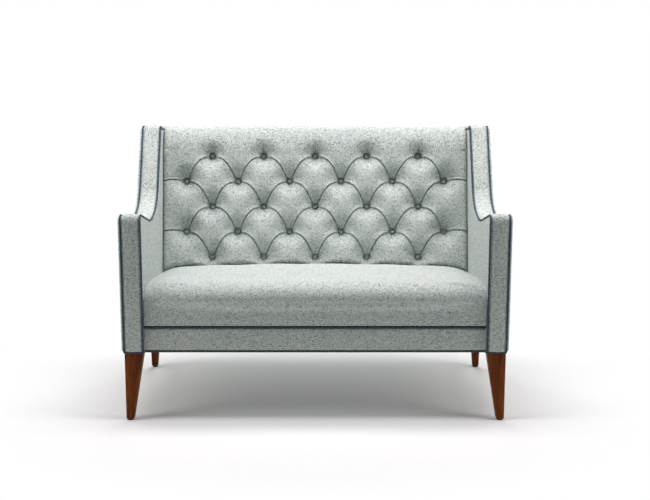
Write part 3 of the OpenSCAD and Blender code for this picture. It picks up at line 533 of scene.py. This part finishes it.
def make_seat():
    """Grid of across positions by a line that runs up the front face, round the nose and over the top."""
    half = CUSHION_X * np.sin(np.linspace(0, QUARTER, 70)) ** 0.9
    x = np.concatenate([-half[:0:-1], half])
    foot_y = SEAT_PIPE[0] + PIPE_R + 2 * GAP
    z0 = DECK + GAP
    ones = np.ones_like(x)
    top0 = seat_top(x, 0)
    nose_y, nose_z = SEAT_FACE_Y + SEAT_NOSE, top0 - SEAT_NOSE
    lines = [(foot_y * ones, z0 * ones), (foot_y * ones, (SEAT_PIPE[1] + PIPE_R + 2 * GAP) * ones)]
    face_z0 = SEAT_PIPE[1] + 2 * PIPE_R + GAP
    for t in np.linspace(0, 0.95, 16):
        lines.append((SEAT_FACE_Y - SEAT_SWELL * np.sin(np.pi * (0.15 + 0.7 * t)) * ones,
                      face_z0 + (nose_z - face_z0) * t))
    for a in np.linspace(math.radians(178), QUARTER, 26):
        lines.append((nose_y + SEAT_NOSE * math.cos(a) * ones, nose_z + SEAT_NOSE * math.sin(a)))
    end_y = SEAT_DEPTH + (seat_top(x, 1) - DECK) * math.tan(PAD_LEAN) - GAP
    for t in np.linspace(0, 1, 60)[1:]:
        y = nose_y + (end_y - nose_y) * t
        lines.append((y, seat_top(x, t)))
    grid = np.stack([np.stack([x, y, z], -1) for y, z in lines])
    # The top rolls over at the back, where it meets the back pad
    back = np.clip((grid[..., 1] - (end_y - BACK_DIP_W)) / BACK_DIP_W, 0, 1)
    grid[..., 2] -= BACK_DIP * quarter_fall(back, 0.96)
    free = eased((CUSHION_X - np.abs(x)) / 40)[None, :] * eased((grid[..., 2] - 341) / 30)
    # It starts low, except near the back, as its cover swells afterwards
    low = LOW_START * eased((end_y - grid[..., 1]) / LOW_FADE)
    grid[..., 2] += (1.0 * unevenness(grid[..., 0], grid[..., 1] + grid[..., 2], 3) - low) * free

    def back_of(rim):
        down = rim.copy()
        down[:, 2] = z0
        front = rim[:, 2] < z0 + 1
        down[:, 1] = np.where(front, rim[:, 1] + 1, np.minimum(rim[:, 1], SEAT_DEPTH - GAP))
        return down

    seat = backed_grid("sprung_seat", grid, back_of)
    back = coordinates(seat.data)[:, 1].max() / MM

    def sewn_down(at):
        x, y, z = at.T
        return (z < z0 + 6) | ((z < 348) & (y < 120)) | (np.abs(x) > CUSHION_X - 5) | (y > back - 6)

    blown_up(seat, sewn_down)
    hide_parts("seat_cushion")


# Buttoned back

# Row 1 is at the top, and odd rows have a button in the middle. A crease leaves each button sideways and
# arches down to the two buttons below it, so the pad stands in overlapping scales.
COL_A, ROW_B, ROWS, SIDE_COLS = 99, 97, 5, 5
FIRST_ROW = 140
DOME = 47
CREASE_POWER, CREASE_START, CREASE_REACH = 2.6, 3, 94
PIT, PIT_R, HOLLOW_R = 8, 12, 92
PLEAT_BOW = 7
HIDDEN_H = 24
PAD_DROP = 8
PAD_TOP_R, PAD_TOP_ROLL = 32, 96
PAD_FOOT_Y = SEAT_DEPTH + HIDDEN_H / math.cos(PAD_LEAN) + GAP
PAD_TOP_S = (WING_TOP - PAD_DROP - DECK) / math.cos(PAD_LEAN)
EDGE_X = SIDE_COLS * COL_A
PINCH = 1.2
EDGE_LIFT, FOLD_LIFT, SLIT, SLIT_W = 0.42, 9, 12.0, 1.6
SIDE_ROLL, SIDE_FALL, END_ROLL, END_FALL = 16, 0.55, 60, 16.0
COVERED_S, PRESS_SLOPE = 60, 4.4
TAIL, TAIL_FALL = 38, 3
RAIL_FRONT, RAIL_LOW, RAIL_HIGH = -55.8, 91.0, 700.0


def row_s(k):
    return FIRST_ROW + (ROWS - k) * ROW_B


def off_button(x, k):
    m = (np.abs(x) + (0 if k % 2 else COL_A)) % (2 * COL_A)
    return np.minimum(m, 2 * COL_A - m)


def crease(x, k):
    """Height up the face of the crease that leaves row k's buttons."""
    d = off_button(np.minimum(np.abs(x), EDGE_X), k) / CREASE_REACH
    drop = CREASE_START + ROW_B * np.minimum(1, d) ** CREASE_POWER
    side = np.clip((np.abs(x) - EDGE_X) / (CUSHION_X - EDGE_X), 0, 1)
    return row_s(k) - drop + PLEAT_BOW * np.sin(np.pi * side)


def crease_line(x, k):
    """The same crease, kept a hair apart from its neighbours where they meet."""
    def push(gap):
        return np.maximum(0, PINCH - gap) / 2
    s = crease(x, k)
    if k < ROWS:
        s = s + push(crease(x, k) - crease(x, k + 1))
    if k > 1:
        s = s - push(crease(x, k - 1) - crease(x, k))
    return s


def face_point(x, s, h):
    """A place on the pad: s up its slope and h out of it."""
    return np.stack([x + 0 * s, PAD_FOOT_Y + s * math.sin(PAD_LEAN) - h * math.cos(PAD_LEAN),
                     DECK + s * math.cos(PAD_LEAN) + h * math.sin(PAD_LEAN)], -1)


BUTTONS = [(j * COL_A, row_s(k), k) for k in range(1, ROWS + 1) for j in range(-SIDE_COLS, SIDE_COLS + 1)
           if (j + k + 1) % 2 == 0]


def crease_segments(only=range(1, ROWS)):
    """Straight pieces of the creases and side pleats of some rows as (x0, s0, x1, s1). The lowest row
    has none."""
    runs = []
    fine = np.linspace(0, COL_A, 15)
    for bx, bs, k in BUTTONS:
        if k not in only:
            continue
        for side in (-1, 1):
            if abs(bx + side * COL_A) > EDGE_X + 1:
                continue
            x = bx + side * fine
            runs.append(np.stack([x, crease(x, k)], -1))
        if abs(bx) > EDGE_X - 1:
            x = np.sign(bx) * np.linspace(EDGE_X, CUSHION_X + 40, 8)
            runs.append(np.stack([x, crease(np.clip(x, -CUSHION_X, CUSHION_X), k)], -1))
    return np.concatenate([np.concatenate([r[:-1], r[1:]], -1) for r in runs])


def upright_segments():
    """The pleats that run from the top row to the pad's top, and from the bottom row down behind the seat."""
    runs = []
    for bx, bs, k in BUTTONS:
        if k == 1:
            runs.append([bx, bs, bx, PAD_TOP_S + 30])
        if k == ROWS:
            runs.append([bx, bs, bx, bs - 140])
    return np.array(runs, float)


def line_distance(x, s, segments):
    """Smooth distance to a set of straight pieces. Each adds the solid angle that it spans over the square of
    its distance, which for one long straight line comes to that line's own distance."""
    total = np.zeros_like(x)
    for x0, s0, x1, s1 in segments:
        ux, us = x1 - x0, s1 - s0
        length = math.hypot(ux, us)
        ux, us = ux / length, us / length
        px, ps = x - x0, s - s0
        along = px * ux + ps * us
        d2 = np.maximum((px * us - ps * ux) ** 2, 0.01)
        a, b = along, along - length
        total += 0.5 * (a / np.sqrt(d2 + a * a) - b / np.sqrt(d2 + b * b)) / d2
    return 1 / np.sqrt(np.maximum(total, 1e-9))


def lifted_edge(x, s):
    """The cover over a crease rises towards its folded edge, most where the crease runs level."""
    lift = np.zeros_like(x)
    for k in range(1, ROWS):
        over = s > crease_line(x, k) - 1e-6
        if k > 1:
            over &= s < crease_line(x, k - 1) - 1e-6
        width = 13 - 8 * np.minimum(1, off_button(x, k) / COL_A)
        away = line_distance(x, s, crease_segments([k]))
        close = np.exp(-(off_button(x, k) / 42) ** 2)
        lift += np.where(over, EDGE_LIFT * width * np.exp(-away / width)
                         + FOLD_LIFT * close * np.exp(-away / 6), 0)
    return lift


def pad_height(x, s):
    """Height of the cover over the plane that the buttons pull it to. Each button stands in a small pit at
    the bottom of a wide hollow, so the stuffing domes up between the buttons. Each crease is a thin slit."""
    near, r = np.zeros_like(x), np.full_like(x, 1e9)
    for bx, bs, k in BUTTONS:
        away = np.maximum(np.hypot(x - bx, s - bs), 0.01)
        r = np.minimum(r, away)
        out = np.maximum(0.01, away - PIT_R)
        if k == 1:
            out = out * (1 + 0.3 * eased(0.5 + 0.9 * (s - bs) / away))
        near += out ** -6.0
    out = near ** (-1 / 6)
    bowl = 1 - (1 - np.minimum(1, out / HOLLOW_R)) ** 3
    h = PIT * (1 - np.exp(-out / 2)) + (DOME - PIT) * bowl
    free = eased((r - PIT_R) / 6)
    d = line_distance(x, s, crease_segments())
    h += free * (lifted_edge(x, s) - 1.5 * np.exp(-d / 6) - SLIT * np.exp(-(d / SLIT_W) ** 2))
    # Upright pleats over the top row fade out upwards
    up = line_distance(x, s, upright_segments())
    above = np.clip((s - row_s(1)) / 75, 0, 1)
    h -= free * (s > row_s(1)) * (3.0 * np.exp(-up / 8) + 6.0 * np.exp(-(up / 1.4) ** 2)) * (1 - above) ** 1.2
    # Each side pleat is a narrow fold, with a second slit over the first
    side = np.clip((np.abs(x) - EDGE_X - 12) / 10, 0, 1)
    for k in range(2, ROWS, 2):
        ds = s - crease(x, k)
        h += side * (2.2 * np.exp(-((ds - 5) / 3) ** 2) - 3.0 * np.exp(-((ds - 10) / 1.6) ** 2))
    return h, r


def gathers(x, s):
    """Short folds that fan out over each button. They are longest over the top row."""
    total = np.zeros_like(x)
    for bx, bs, k in BUTTONS:
        dx, ds = x - bx, s - bs
        r = np.hypot(dx, ds)
        a = np.arctan2(dx, ds)
        reach, depth = (24, 1.6) if k == 1 else (19, 0.8)
        fold = np.cos(a * 16) * np.exp(-((r - reach) / (reach * 0.45)) ** 2)
        total += depth * fold * np.exp(-(a / 0.75) ** 4)
    return total


def make_back():
    """Grid whose columns close up beside each column of buttons, and whose rows follow the creases."""
    xs = np.concatenate([(j + crowded(23)[:-1]) * COL_A for j in range(SIDE_COLS)])
    xs = np.concatenate([xs, EDGE_X + (CUSHION_X - EDGE_X) * crowded(19)])
    x = np.concatenate([-xs[:0:-1], xs])
    face_top = PAD_TOP_S - PAD_TOP_ROLL
    rows = [GAP + (crease_line(x, ROWS) - GAP) * t for t in np.sin(np.linspace(0, QUARTER, 12))[:-1]]
    for k in range(ROWS - 1, 0, -1):
        s0, s1 = crease_line(x, k + 1), crease_line(x, k)
        rows += [s0 + (s1 - s0) * t for t in crowded(27)[:-1]]
    s0 = crease_line(x, 1)
    rows += [s0 + (face_top - s0) * t for t in 1 - np.cos(np.linspace(0, QUARTER, 34))]
    s = np.stack(rows)
    xx = np.broadcast_to(x, s.shape)
    h, r = pad_height(xx.copy(), s.copy())
    h = h + gathers(xx, s) + 0.5 * unevenness(xx, s, 5, size=90.0) * eased((r - 15) / 25)
    # The pad rolls in beside the wings, and the seat presses it flat below their meeting line
    t = np.clip((np.abs(xx) - (CUSHION_X - SIDE_ROLL)) / SIDE_ROLL, 0, 1)
    rolled = 1 - SIDE_FALL * quarter_fall(t)
    h = h * rolled
    seat_line = (seat_top(xx, 1) - DECK - BACK_DIP) / math.cos(PAD_LEAN)
    h = np.minimum(h, HIDDEN_H - 0.5 + np.maximum(0, s - seat_line) * PRESS_SLOPE)
    h = np.where(s < COVERED_S, HIDDEN_H - 0.5, h)
    face = face_point(xx, s, h)
    # Over the top edge: a quarter of an ellipse in each column, which carries on falling to the rails
    a = np.linspace(0, QUARTER + 0.15, 26)[1:, None]
    top_s = face_top + PAD_TOP_ROLL * np.sin(a) + 0 * x
    top_x = np.broadcast_to(x, top_s.shape)
    lift, _ = pad_height(top_x.copy(), top_s.copy())
    near_end = np.clip((np.abs(top_x) - CUSHION_X + END_ROLL) / END_ROLL, 0, 1)
    ends = END_FALL * quarter_fall(near_end, 0.98)
    ends += 3.0 * (np.abs(top_x) / CUSHION_X) ** 4
    top = list(face_point(top_x, top_s - ends, lift * rolled[:1] - PAD_TOP_R * (1 - np.cos(a))))
    edge = top[-1]
    for run in np.linspace(0, 1, 7)[1:]:
        over = edge.copy()
        over[:, 1] += TAIL * run
        over[:, 2] += (edge[:, 2].max() - TAIL_FALL - edge[:, 2]) * run
        top.append(over)
    return np.concatenate([face, np.stack(top)]), s


def make_back_pad():
    grid, s = make_back()

    def back_of(rim):
        """Each rim point goes to the front of the back rails, and its height is squeezed to theirs."""
        up = np.clip((rim[:, 2] - DECK) / math.cos(LEAN), 1, 600)
        return back_place(rim[:, 0], RAIL_FRONT, RAIL_LOW + (RAIL_HIGH - RAIL_LOW) * up / 640)

    over_top = 4.0 * np.arange(1, len(grid) - len(s) + 1)[:, None]
    uv = np.stack([grid[..., 0], np.concatenate([s, s[-1:] + over_top])], -1) * MM
    pad = backed_grid("buttoned_back", grid, back_of, uv=uv)
    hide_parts("back_cushion")


# Covered buttons

BUTTON_R, BUTTON_H, BUTTON_SEAT = 9.8, 6.5, 2.2


def make_buttons():
    """Each button is a dome turned about its axis: a low cap, a tight round edge and a back that tucks in."""
    profile = np.array([(0.25, 0.985), (0.5, 0.93), (0.7, 0.83), (0.86, 0.68), (0.96, 0.48), (1.0, 0.26),
                        (0.95, 0.08), (0.8, 0.0), (0.35, 0.0), (0.3, -0.5)])
    r, level = profile[:, :1] * BUTTON_R, profile[:, 1:] * BUTTON_H + BUTTON_SEAT
    a = np.linspace(0, 2 * np.pi, 40, endpoint=False)
    rows, cols = len(profile), len(a)
    quads = grid_quads(rows, cols, close_cols=True)[:, ::-1]
    tip, tail, last = rows * cols, rows * cols + 1, (rows - 1) * cols
    all_points, all_faces, all_uv = [], [], []
    n = 0
    rng = np.random.default_rng(11)
    for bx, bs, _ in BUTTONS:
        turn = rng.uniform(0, 2 * np.pi)
        lean_x, lean_s = rng.normal(0, 0.05, 2)
        pleat = 0.18 * np.cos(a * 12 + turn)[None, :] * (profile[:, :1] > 0.8)
        dx, ds = (r + pleat) * np.cos(a), (r + pleat) * np.sin(a)
        ringed = face_point(bx + dx, bs + ds, level + lean_x * dx + lean_s * ds).reshape(-1, 3)
        ends = face_point(np.full(2, bx), np.full(2, bs), np.array([BUTTON_SEAT + BUTTON_H, 0.4]))
        all_faces += [n + q for q in quads]
        all_faces += [(n + tip, n + j, n + (j + 1) % cols) for j in range(cols)]
        all_faces += [(n + tail, n + last + (j + 1) % cols, n + last + j) for j in range(cols)]
        uv = np.stack([dx, ds], -1).reshape(-1, 2) * MM + rng.uniform(0, 0.2, 2)
        all_points += [ringed, ends]
        all_uv += [uv, uv[:2]]
        n += len(ringed) + len(ends)
    piece = new_piece("covered_buttons", np.concatenate(all_points), all_faces, np.concatenate(all_uv),
                      "tweed")
    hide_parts("buttons")


# Arm panels and bands

def star_panel(name, side, x_edge, x_thick, inset, swell, edge_w, seed, outward=1):
    """A padded panel: rings shrink from the side outline to its middle, each lifted by the panel's swell,
    and a flat back closes it."""
    outline, _ = arm_outline(inset, SKIRT)
    centre = np.array([400.0, 470.0])
    spokes = outline - centre
    reach = np.linalg.norm(spokes, axis=1).mean()
    inwards = edge_w / reach
    t = np.concatenate([inwards * (1 - np.cos(np.linspace(0, QUARTER, 9))),
                        np.linspace(inwards, 1, 26)[1:-1]])
    rings = []
    for ti in t:
        flat = centre + spokes * (1 - ti)
        lift = x_thick * rounded_edge(ti * reach, edge_w) + swell * (1 - (1 - ti) ** 2.2)
        lift = lift + 0.8 * unevenness(flat[:, 0], flat[:, 1], seed) * ti
        rings.append(np.column_stack([side * (x_edge + outward * lift), flat]))
    rows, cols = len(rings), len(outline)
    top = np.array([[side * (x_edge + outward * (x_thick + swell)), *centre]])
    points = np.concatenate([*rings, top])
    k, last = np.arange(cols), (rows - 1) * cols
    fan = [(last + j, last + (j + 1) % cols, rows * cols) for j in k]
    faces = [*grid_quads(rows, cols, close_cols=True), *fan, k[::-1]]
    if side * outward > 0:
        faces = [f[::-1] for f in faces]
    return new_piece(name, points, faces, points[:, 1:] * MM, "tweed")


def make_outside_arm(side, tag):
    """Outside panel: tucked in at the piping and swollen past it."""
    piece = star_panel("outside_panel_" + tag, side, x_edge=648.0, x_thick=16.2, inset=1.6, swell=0.6,
                       edge_w=8, seed=21 if side > 0 else 22)
    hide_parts("outside_arm_" + tag)


def make_inside_arm(side, tag):
    """Inside pad of the arm and wing, which meets the seat and the back pad."""
    piece = star_panel("inside_pad_" + tag, side, x_edge=597.0, x_thick=12.0, inset=3.6, swell=1.5,
                       edge_w=16, seed=31 if side > 0 else 32, outward=-1)
    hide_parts("inside_arm_" + tag)


BAND_IN, BAND_OUT = 591.9, 651.4
BAND_EDGE, BAND_CROWN, BAND_UNDER = -4.0, 8.6, 9.0


def make_band(side, tag):
    """The strip between the two lines of piping: a crowned section carried up the arm front, along the
    arm top and up the wing, and closed by a flat underside."""
    path, out = arm_outline(0, SKIRT, step=5.0, back=False)
    tail = np.array([[back_y(WING_TOP - WING_FALL) - 16.0, WING_TOP - WING_FALL * 0.9]])
    steps = np.linspace(0, 1, 26)[1:, None]
    path = np.concatenate([path, path[-1] + (tail - path[-1]) * steps])
    out = np.concatenate([out, np.repeat(out[-1:], len(steps), 0)])
    u = np.linspace(-1, 1, 25)
    crown = np.sqrt(1 - np.abs(u) ** 3.2 * 0.999)
    x = (BAND_IN + BAND_OUT) / 2 + u * (BAND_OUT - BAND_IN) / 2
    along = run_length(path)
    lift = BAND_EDGE + BAND_CROWN * crown + 0.5 * unevenness(along[:, None], x[None, :], 41, size=110.0) * crown
    top = path[:, None] + out[:, None] * lift[..., None]
    under = path[:, None] - out[:, None] * np.full((1, 2, 1), BAND_UNDER)
    loop = np.concatenate([top, under], axis=1)
    xs = np.concatenate([x, [BAND_OUT, BAND_IN]])
    grid = np.stack([np.broadcast_to(side * xs, loop.shape[:2]), loop[..., 0], loop[..., 1]], -1)
    rows, cols = grid.shape[:2]
    around = np.concatenate([x, [BAND_OUT + 8, BAND_IN - 8]])
    uv = pairs(around[None, :], along[:, None]) * MM
    faces = capped_quads(rows, cols)
    if side < 0:
        faces = [f[::-1] for f in faces]
    piece = new_piece("arm_band_cover_" + tag, grid.reshape(-1, 3), faces, uv, "tweed")
    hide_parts("arm_band_" + tag)


# Piping

def at_x(x, points_yz):
    return np.column_stack([np.full(len(points_yz), x), points_yz])


def make_arm_piping(side, tag):
    inner, _ = arm_outline(0, SKIRT, step=5.0, back=False)
    tail = heel_c + np.array([0.0, HEEL_R])
    steps = np.linspace(0, 1, 20)[1:, None]
    inner = np.concatenate([inner, inner[-1] + (tail - inner[-1]) * steps])
    # Along the wing's top the seam is pulled down between the band and the inside pad
    crest = int(np.argmax(inner[:, 1]))
    inner[crest:, 1] -= SEAM_SINK * eased((inner[crest:, 0] - inner[crest, 0]) / SEAM_FADE)
    outer, _ = arm_outline(0, SKIRT, step=5.0)
    piece = piping("inner_piping_" + tag, at_x(side * INNER_PIPE_X, inner))
    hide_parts("arm_piping_inner_" + tag)
    piece = piping("outer_piping_" + tag, at_x(side * OUTER_PIPE_X, outer))
    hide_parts("arm_piping_outer_" + tag)


BASE_PIPE_Z = 243.5
SEAM_SINK, SEAM_FADE = 9.5, 22


def make_level_piping():
    """The seat piping, and the base piping that follows the underside right round."""
    xs = np.linspace(-CUSHION_X, CUSHION_X, 160)
    seat = np.stack([xs, np.full_like(xs, SEAT_PIPE[0]), np.full_like(xs, SEAT_PIPE[1])], -1)
    piece = piping("seat_front_piping", seat, normal=(0, 0, 1))
    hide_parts("seat_piping")
    corner = 5.0
    turn = np.linspace(0, QUARTER, 7)

    def rounded(points):
        """Rounds each inner point of a level route by a small radius."""
        pts = [np.array(points[0], float)]
        for a, b, c in zip(points[:-2], points[1:-1], points[2:]):
            a, b, c = (np.array(p, float) for p in (a, b, c))
            d0, d1 = (b - a) / np.linalg.norm(b - a), (c - b) / np.linalg.norm(c - b)
            start = b - d0 * corner
            for t in turn:
                pts.append(start + d0 * corner * math.sin(t) + d1 * corner * (1 - math.cos(t)))
        pts.append(np.array(points[-1], float))
        return np.array(pts)

    back = back_y(BASE_PIPE_Z)
    route = rounded([(0, SEAT_PIPE[0]), (INNER_PIPE_X - 6, SEAT_PIPE[0]), (INNER_PIPE_X, 0),
                     (OUTER_PIPE_X, 0), (OUTER_PIPE_X, back), (0, back)])
    half = np.column_stack([route, np.full(len(route), BASE_PIPE_Z)])
    other = half[::-1] * (-1, 1, 1)
    whole = np.concatenate([half, other[1:-1]])
    dense = []
    for p, q in zip(whole, np.roll(whole, -1, axis=0)):
        n = max(1, int(np.linalg.norm(q - p) / 8))
        dense.append(p + (q - p) * np.linspace(0, 1, n, endpoint=False)[:, None])
    piece = piping("base_rim_piping", np.concatenate(dense), normal=(0, 0, 1), closed=True)
    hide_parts("base_piping")


# Back panel, top roll and front border

ROLL_DROP = 24
ROLL_TOP_S = (WING_TOP - ROLL_DROP - FLOOR_TO_FRAME) / math.cos(LEAN) + RAIL_FRONT / 2 * math.tan(LEAN)


def make_back_panel():
    """Outside back: one wide padded panel, rolled in at its edges and swollen a little in the middle."""
    half = 647.0
    u, v = np.meshgrid(np.sin(np.linspace(-QUARTER, QUARTER, 90)), crowded(60))
    x = half * u
    foot = (SKIRT - FLOOR_TO_FRAME) / math.cos(LEAN)
    s = foot + (ROLL_TOP_S - foot) * v
    edge = np.minimum(half - np.abs(x), np.minimum(s - foot, ROLL_TOP_S - s))
    roll = rounded_edge(edge, 12)
    y = -11.5 + 9.5 * roll + 2.2 * (1 - u ** 2) * np.sin(np.pi * v)
    y = y + 0.5 * unevenness(x, s, 51, size=260.0) * roll

    def back_of(rim):
        return rim + np.array([0, -0.4 * math.cos(LEAN), 0.4 * math.sin(LEAN)])

    piece = backed_grid("outside_back_cover", back_place(x, y, s), back_of, np.stack([x, s], -1) * MM,
                        flip=True)
    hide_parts("outside_back")


def make_border():
    """Padded strip under the seat, between the seat piping and the base piping."""
    u, v = np.meshgrid(np.sin(np.linspace(-QUARTER, QUARTER, 120)), crowded(22))
    x = CUSHION_X * u
    z = SKIRT + (DECK - GAP - SKIRT) * v
    edge = np.minimum(z - SKIRT, DECK - GAP - z)
    roll = rounded_edge(edge, 9)
    y = 20.0 - 6.0 * roll - 1.2 * np.sin(np.pi * v) + 0.35 * unevenness(x, z, 61, size=120.0) * roll

    def back_of(rim):
        down = rim.copy()
        down[:, 1] = 24.0
        return down

    piece = backed_grid("front_border_cover", np.stack([x, y, z], -1), back_of)
    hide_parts("front_border")


def make_top_roll():
    """The cover over the top rail, from wing to wing: a low arch from the back pad to the outside back."""
    u, a = np.meshgrid(np.linspace(-1, 1, 60), np.linspace(0, np.pi, 16))
    x = 597.0 * u
    y = -34.0 - 21.0 * np.cos(a)
    s = ROLL_TOP_S - 6 + 6 * np.sin(a) ** 0.5 + 0.4 * unevenness(x, y, 71, size=120.0)

    def back_of(rim):
        down = rim.copy()
        down[:, 1] -= 24 * math.sin(LEAN)
        down[:, 2] -= 24 * math.cos(LEAN)
        return down

    piece = backed_grid("top_roll_cover", back_place(x, y, s), back_of, np.stack([x, y], -1) * MM)
    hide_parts("back_top_roll")


# Legs

def make_leg(name, node, foot_lo, foot_hi, top_lo, top_hi, ease=2.6):
    """A tapered square leg: each level is a square with rounded corners, carried from foot to top."""
    a = np.linspace(0, QUARTER, 6)
    turned = (a + np.arange(4)[:, None] * QUARTER).ravel()
    corner = np.column_stack([np.cos(turned), np.sin(turned)])
    sign = np.repeat(np.array([(1, 1), (-1, 1), (-1, -1), (1, -1)]), 6, axis=0)
    levels = np.array([5.0, 5.6, 7.0, *np.linspace(9, FLOOR_TO_FRAME - 1, 40), FLOOR_TO_FRAME - 0.02])
    grow = np.array([-2.4, -1.0, -0.2] + 41 * [0.0])
    rings = []
    for z, g in zip(levels, grow):
        t = (z - 5) / (FLOOR_TO_FRAME - 5)
        lo = np.array(foot_lo) + (np.array(top_lo) - np.array(foot_lo)) * t
        hi = np.array(foot_hi) + (np.array(top_hi) - np.array(foot_hi)) * t
        mid, half = (lo + hi) / 2, (hi - lo) / 2 + g
        xy = mid + sign * (half - ease) + corner * ease
        rings.append(np.column_stack([xy, np.full(len(xy), z)]))
    grid = np.stack(rings)
    points = grid.reshape(-1, 3)
    piece = new_piece(name, points, capped_quads(*grid.shape[:2]), points[:, ::2] * MM, "walnut")
    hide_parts(node)


FRONT_LEG = dict(out=654.0, top=64.0, foot=27.0, y=2.0)
BACK_LEG = dict(x=624.5, y=598.5, top=46.0, foot=24.0, splay=14.0, rake=48.0)


def make_legs():
    f, b = FRONT_LEG, BACK_LEG
    for side, tag in ((1, "right"), (-1, "left")):
        lo_hi = [(f["out"] - f["foot"], f["out"]), (f["out"] - f["top"], f["out"])]
        spans = [sorted((side * p, side * q)) for p, q in lo_hi]
        make_leg("front_leg_" + tag, "leg_front_" + tag,
                 (spans[0][0], f["y"]), (spans[0][1], f["y"] + f["foot"]),
                 (spans[1][0], f["y"]), (spans[1][1], f["y"] + f["top"]))
        foot_x, top_x = side * (b["x"] + b["splay"]), side * b["x"]
        make_leg("back_leg_" + tag, "leg_back_" + tag,
                 (foot_x - b["foot"] / 2, b["y"] + b["rake"] - b["foot"] / 2),
                 (foot_x + b["foot"] / 2, b["y"] + b["rake"] + b["foot"] / 2),
                 (top_x - b["top"] / 2, b["y"] - b["top"] / 2), (top_x + b["top"] / 2, b["y"] + b["top"] / 2))


make_seat()
make_back_pad()
make_buttons()
for side, tag in ((1, "right"), (-1, "left")):
    make_outside_arm(side, tag)
    make_inside_arm(side, tag)
    make_band(side, tag)
    make_arm_piping(side, tag)
make_level_piping()
make_back_panel()
make_top_roll()
make_border()
make_legs()


# Floor, light and camera

def seen_directly(tree):
    """1 where a ray comes straight from the camera, off something shiny or through something clear."""
    rays = add(tree, "LightPath")
    return maths(tree, "MAXIMUM", rays.outputs["Is Camera Ray"],
                 maths(tree, "MAXIMUM", rays.outputs["Is Glossy Ray"], rays.outputs["Is Transmission Ray"]))


def make_world():
    world = bpy.data.worlds.new("plain_studio")
    world.use_nodes = True
    tree = world.node_tree
    tree.nodes.clear()
    strength = maths(tree, "MULTIPLY_ADD", seen_directly(tree), 1.0 - FILL, FILL)
    back = add(tree, "Background", [("Strength", strength)], Color=(1, 1, 1, 1))
    add(tree, "OutputWorld", [("Surface", back.outputs[0])])
    bpy.context.scene.world = world


def make_floor():
    """A wide pale floor. To the camera it turns into the plain white background away from the settee."""
    size = 6.0
    mesh = bpy.data.meshes.new("studio_floor")
    mesh.from_pydata([(-size, -size, 0), (size, -size, 0), (size, size, 0), (-size, size, 0)], [],
                     [(0, 1, 2, 3)])
    floor = bpy.data.objects.new("studio_floor", mesh)
    bpy.context.collection.objects.link(floor)
    mat, tree = new_material("pale_floor")
    paint = add(tree, "BsdfDiffuse", Color=hex_colour(FLOOR_TONE))
    white = add(tree, "Emission", Color=(1, 1, 1, 1))
    at = add(tree, "TexCoord")
    squash = add(tree, "Mapping", [("Vector", at.outputs["Object"])], Scale=(1 / 1.5, 1 / 1.1, 1))
    away = add(tree, "VectorMath", [("Vector", squash.outputs[0])], operation="LENGTH")
    edge = add(tree, "MapRange", [("Value", away.outputs["Value"])],
               interpolation_type="SMOOTHSTEP", From_Min=0.55, From_Max=1.0)
    shown = maths(tree, "MULTIPLY", edge.outputs[0], seen_directly(tree))
    both = add(tree, "MixShader", [("Fac", shown)])
    tree.links.new(paint.outputs[0], both.inputs[1])
    tree.links.new(white.outputs[0], both.inputs[2])
    add(tree, "OutputMaterial", [("Surface", both.outputs[0])])
    mesh.materials.append(mat)
    return floor


def area_light(name, place_at, look_at, size, power, colour=(1, 1, 1)):
    lamp = bpy.data.lights.new(name, "AREA")
    lamp.shape = "RECTANGLE"
    lamp.size, lamp.size_y = size
    lamp.energy = power
    lamp.color = colour
    obj = bpy.data.objects.new(name, lamp)
    obj.location = place_at
    obj.rotation_euler = (Vector(look_at) - Vector(place_at)).to_track_quat("-Z", "Y").to_euler()
    bpy.context.collection.objects.link(obj)
    return obj


FILL = 0.02
FLOOR_TONE = "#E3E6E4"
SOFT_WARM = (1, 0.92, 0.97)
make_world()
floor = make_floor()
area_light("overhead_softbox", (0.0, -0.5, 2.9), (0.0, 0.1, 0.4), (3.0, 0.5), 43, SOFT_WARM)
area_light("top_softbox", (0.0, 0.25, 2.7), (0.0, 0.25, 0.0), (4.0, 0.7), 66, SOFT_WARM)
area_light("left_softbox", (-2.6, -0.9, 1.9), (0.0, 0.0, 0.7), (1.2, 1.6), 26)
area_light("right_softbox", (2.6, -0.9, 1.9), (0.0, 0.0, 0.7), (1.2, 1.6), 26)
low_back = area_light("low_back_softbox", (0.0, 1.9, 0.7), (0.0, 0.3, 0.0), (1.6, 0.5), 44)
# The low lamp opens up the floor's shadow only, so the outside back keeps its colour
floor_only = bpy.data.collections.new("floor_only")
floor_only.objects.link(floor)
low_back.light_linking.receiver_collection = floor_only

# The camera's distance, height and tilt, worked out from the photograph's upright edges and floor line
CAMERA_BACK, CAMERA_UP, CAMERA_TILT = 3961, 1394.7, 11.31
FOCAL_PX, IMAGE_W, CENTRE_U, SENSOR = 1200, 650, 315.2, 36
camera = bpy.data.cameras.new("camera")
camera.sensor_width = SENSOR
camera.lens = FOCAL_PX / IMAGE_W * SENSOR
camera.shift_x = (IMAGE_W / 2 - CENTRE_U) / IMAGE_W
view = bpy.data.objects.new("camera", camera)
view.location = place((0, -CAMERA_BACK, CAMERA_UP))
view.rotation_euler = Euler((math.radians(90 - CAMERA_TILT), 0, 0))
bpy.context.collection.objects.link(view)
bpy.context.scene.camera = view
bpy.context.scene.view_settings.view_transform = "Standard"
